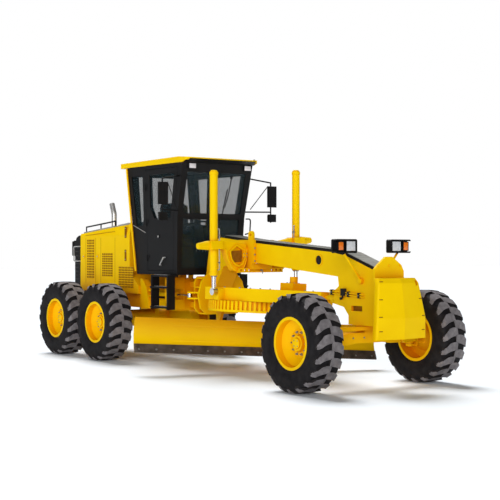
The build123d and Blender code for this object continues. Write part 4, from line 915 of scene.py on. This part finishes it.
OFF_GLASS = Vector((0, -0.012, 0))
shape = bmesh.new()
pivot, foot = spots_on("cab_glass", [(0.30, 2.6, 3.12), (0.24, 2.6, 2.62)], REARWARD)
drawn_rod(shape, pivot, pivot + 2.6 * OFF_GLASS, 0.02, sides=14)
elbow = (pivot + foot) / 2 + 2 * OFF_GLASS + Vector((0.012, 0, 0))
drawn_pipe(shape, [pivot + 2 * OFF_GLASS, elbow, foot + 1.6 * OFF_GLASS], 0.008)
blade_top = foot.lerp(pivot, 0.62) + Vector((-0.02, 0, 0)) + OFF_GLASS
blade_low = foot + (foot - pivot) * 0.3 + Vector((-0.01, 0, 0)) + OFF_GLASS
drawn_pipe(shape, [blade_top, foot + OFF_GLASS + Vector((-0.02, 0, 0)), blade_low], 0.009)
add_piece("wiper", shape, "rear_frame", "dark", dark_paint)


# ---------- door handles
# Each door has a round push-button handle, black with a grey metal button, and a slanted grey
# pull bar low on its leading half, bent into the panel at both ends.
for side, name in SIDES:
    door = f"cab_door_{name}"
    shape = bmesh.new()
    inward = (-side, 0, 0)
    for spot, facing in touches(door, [(side * 1.6, 4.304, 2.141)], inward):
        drawn_rod(shape, spot - facing * 0.004, spot + facing * 0.012, 0.03, sides=24, edge=0.004)
        drawn_rod(shape, spot + facing * 0.01, spot + facing * 0.02, 0.018, paint=1)
    low, high = spots_on(door, [(side * 1.6, 4.25, 1.66), (side * 1.6, 4.12, 1.79)], inward)
    step = facing * 0.035
    drawn_pipe(shape, [low, low + step, high + step, high], 0.011, paint=1, bend=0.02)
    add_piece(f"door_handles_{name}", shape, f"door_{name}", "dark", dark_paint, grey_metal)


# ---------- cab roof
# The yellow roof pan has three small lifting eyes of bent bar, sunk almost level with its top,
# and a thin black brow of two strips down its front edge.
ROOF_TOP_Z = 3.428  # the eyes end level with the roof's own ridge
EYE_HALF, EYE_SUNK = 0.02, 0.01
shape = bmesh.new()
for spot in spots_on("cab_roof", [(-0.69, 3.95, 4), (-0.69, 5.33, 4), (0.66, 3.40, 4)], DOWN):
    top = min(spot.z + 0.05, ROOF_TOP_Z) - spot.z
    drawn_pipe(shape, [spot + Vector((0, dy, dz)) for dy, dz in (
        (-EYE_HALF, -EYE_SUNK), (-EYE_HALF, top), (EYE_HALF, top), (EYE_HALF, -EYE_SUNK))], 0.006, bend=0.018)
brow = Matrix.Rotation(math.radians(-20.1), 4, "X")
for y, z, half_x, half_y in ((3.365, 3.3795, 0.655, 0.036), (3.438, 3.353, 0.7, 0.043)):
    box_round(shape, (0, y, z), (half_x, half_y, 0.003), turn=brow, ease=0.0015)
add_piece("roof_eyes", shape, "rear_frame", "dark", dark_paint)


# ---------- seat
# A sprung driver's seat: foam cushion and back rest, each a crowned pad upholstered in dark
# woven cloth, on the black metal seat pan.
PAD_CROWN = 0.018
CORNER_DRAW, CORNER_START = 0.07, 0.7  # how far a pad's corners draw in, and from where
cloth = finish("seat_cloth", (0.02, 0.02, 0.022), (0.035, 0.034, 0.036), 60, 0.9, 0.06, 0.001, 600, shine=0.1)


def drawn_pad(shape, low, high):
    """Stuffed pad with full rounded edges, crowned on its faces."""
    low, high = Vector(low), Vector(high)
    size = high - low
    part = bmesh.new()
    bmesh.ops.create_cube(part, size=1)
    bmesh.ops.scale(part, vec=size, verts=part.verts)
    bmesh.ops.subdivide_edges(part, edges=part.edges[:], cuts=7, use_grid_fill=True)
    for v in part.verts:
        share = Vector((v.co.x / size.x * 2, v.co.y / size.y * 2, v.co.z / size.z * 2))
        for i in range(3):
            a, b = (j for j in range(3) if j != i)
            full = (1 - share[a] ** 2) * (1 - share[b] ** 2)
            v.co[i] += math.copysign(PAD_CROWN * full, share[i]) if abs(share[i]) > 0.99 else 0
        worst = sorted(abs(s) for s in share)[1]
        v.co *= 1 - CORNER_DRAW * max(0, worst - CORNER_START) / (1 - CORNER_START)
    part.transform(Matrix.Translation((low + high) / 2))
    join_in(shape, part)


back_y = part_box("seat")[1].y - DATUM_Y
for name, low, high in (
    ("seat_cushion", (-0.262, 4.37, 1.955), (0.262, 4.80, 2.09)),
    ("seat_back", (-0.245, back_y - 0.16, 2.10), (0.245, back_y + 0.012, 2.715)),
):
    shape = bmesh.new()
    drawn_pad(shape, low, high)
    pad = add_piece(name, shape, "rear_frame", "seat", cloth, smooth=60)


# ---------- console
# On the steering console: short grey levers with black ball knobs, two at the steering wheel
# and four lower down on the column, and the wheel's black centre boss.
LEVERS, LEVER_PITCH = 6, 0.06
shape = bmesh.new()
lever_starts = [((k - (LEVERS - 1) / 2) * LEVER_PITCH, 4.02, 2.9) for k in range(LEVERS)]
for spot in spots_on("steering_console", lever_starts, DOWN):
    drawn_rod(shape, spot - Vector((0, 0, 0.01)), spot + Vector((0, -0.02, 0.1)), 0.005, sides=8, edge=0.001)
    ball = bmesh.new()
    bmesh.ops.create_uvsphere(ball, u_segments=12, v_segments=8, radius=0.014)
    ball.transform(Matrix.Translation(spot + Vector((0, -0.021, 0.108))))
    join_in(shape, ball, 1)
for spot, facing in touches("steering_console", [(0, 4.15, 3)], DOWN):
    drawn_rod(shape, spot - facing * 0.005, spot + facing * 0.02, 0.035, paint=1, sides=24, edge=0.006)
add_piece("console_levers", shape, "rear_frame", "dark", grey_metal, dark_paint)


# ---------- ladders
# Welded steps under the cab's doors with punched anti-slip treads: two rows of nine raised
# grey buttons on each of a ladder's rungs.
RUNG_Y = 4.06
BUTTONS, BUTTON_PITCH = 9, 0.045
shape = bmesh.new()
for side in (-1, 1):
    for above_rung in (1.53, 1.34, 1.01):
        button_starts = [(side * x, RUNG_Y + (k - (BUTTONS - 1) / 2) * BUTTON_PITCH, above_rung)
                         for k in range(BUTTONS) for x in (0.725, 0.775)]
        for spot in spots_on("ladders", button_starts, DOWN):
            drawn_rod(shape, spot - Vector((0, 0, 0.002)), spot + Vector((0, 0, 0.006)), 0.008, sides=8,
                      edge=0.0015)
add_piece("ladder_treads", shape, "rear_frame", "dark", grey_metal)


# ---------- mirrors
# Two glasses in each black mirror head facing the driver, and a thin brace from the upper
# bracket arm down to the cab's corner.
MIRROR_MIDDLE_X = 1.085
mirror_glass = finish(
    "mirror_glass", (0.55, 0.58, 0.6), (0.48, 0.51, 0.53), 12, 0.06, 0.03, 0.00001, 60, metal=0.9)
for side, name in SIDES:
    shape = bmesh.new()
    for z, half_height in ((2.82, 0.165), (2.455, 0.05)):
        for spot in spots_on("mirrors", [(side * MIRROR_MIDDLE_X, 4.2, z)], FORWARD):
            box_round(shape, spot, (0.07, 0.004, half_height), ease=0.006)
    drawn_pipe(shape, [(side * 1.0, 3.47, 3.0), (side * 0.735, 3.62, 2.60)], 0.008, paint=1)
    add_piece(f"mirror_glass_{name}", shape, "rear_frame", "dark", mirror_glass, dark_paint)
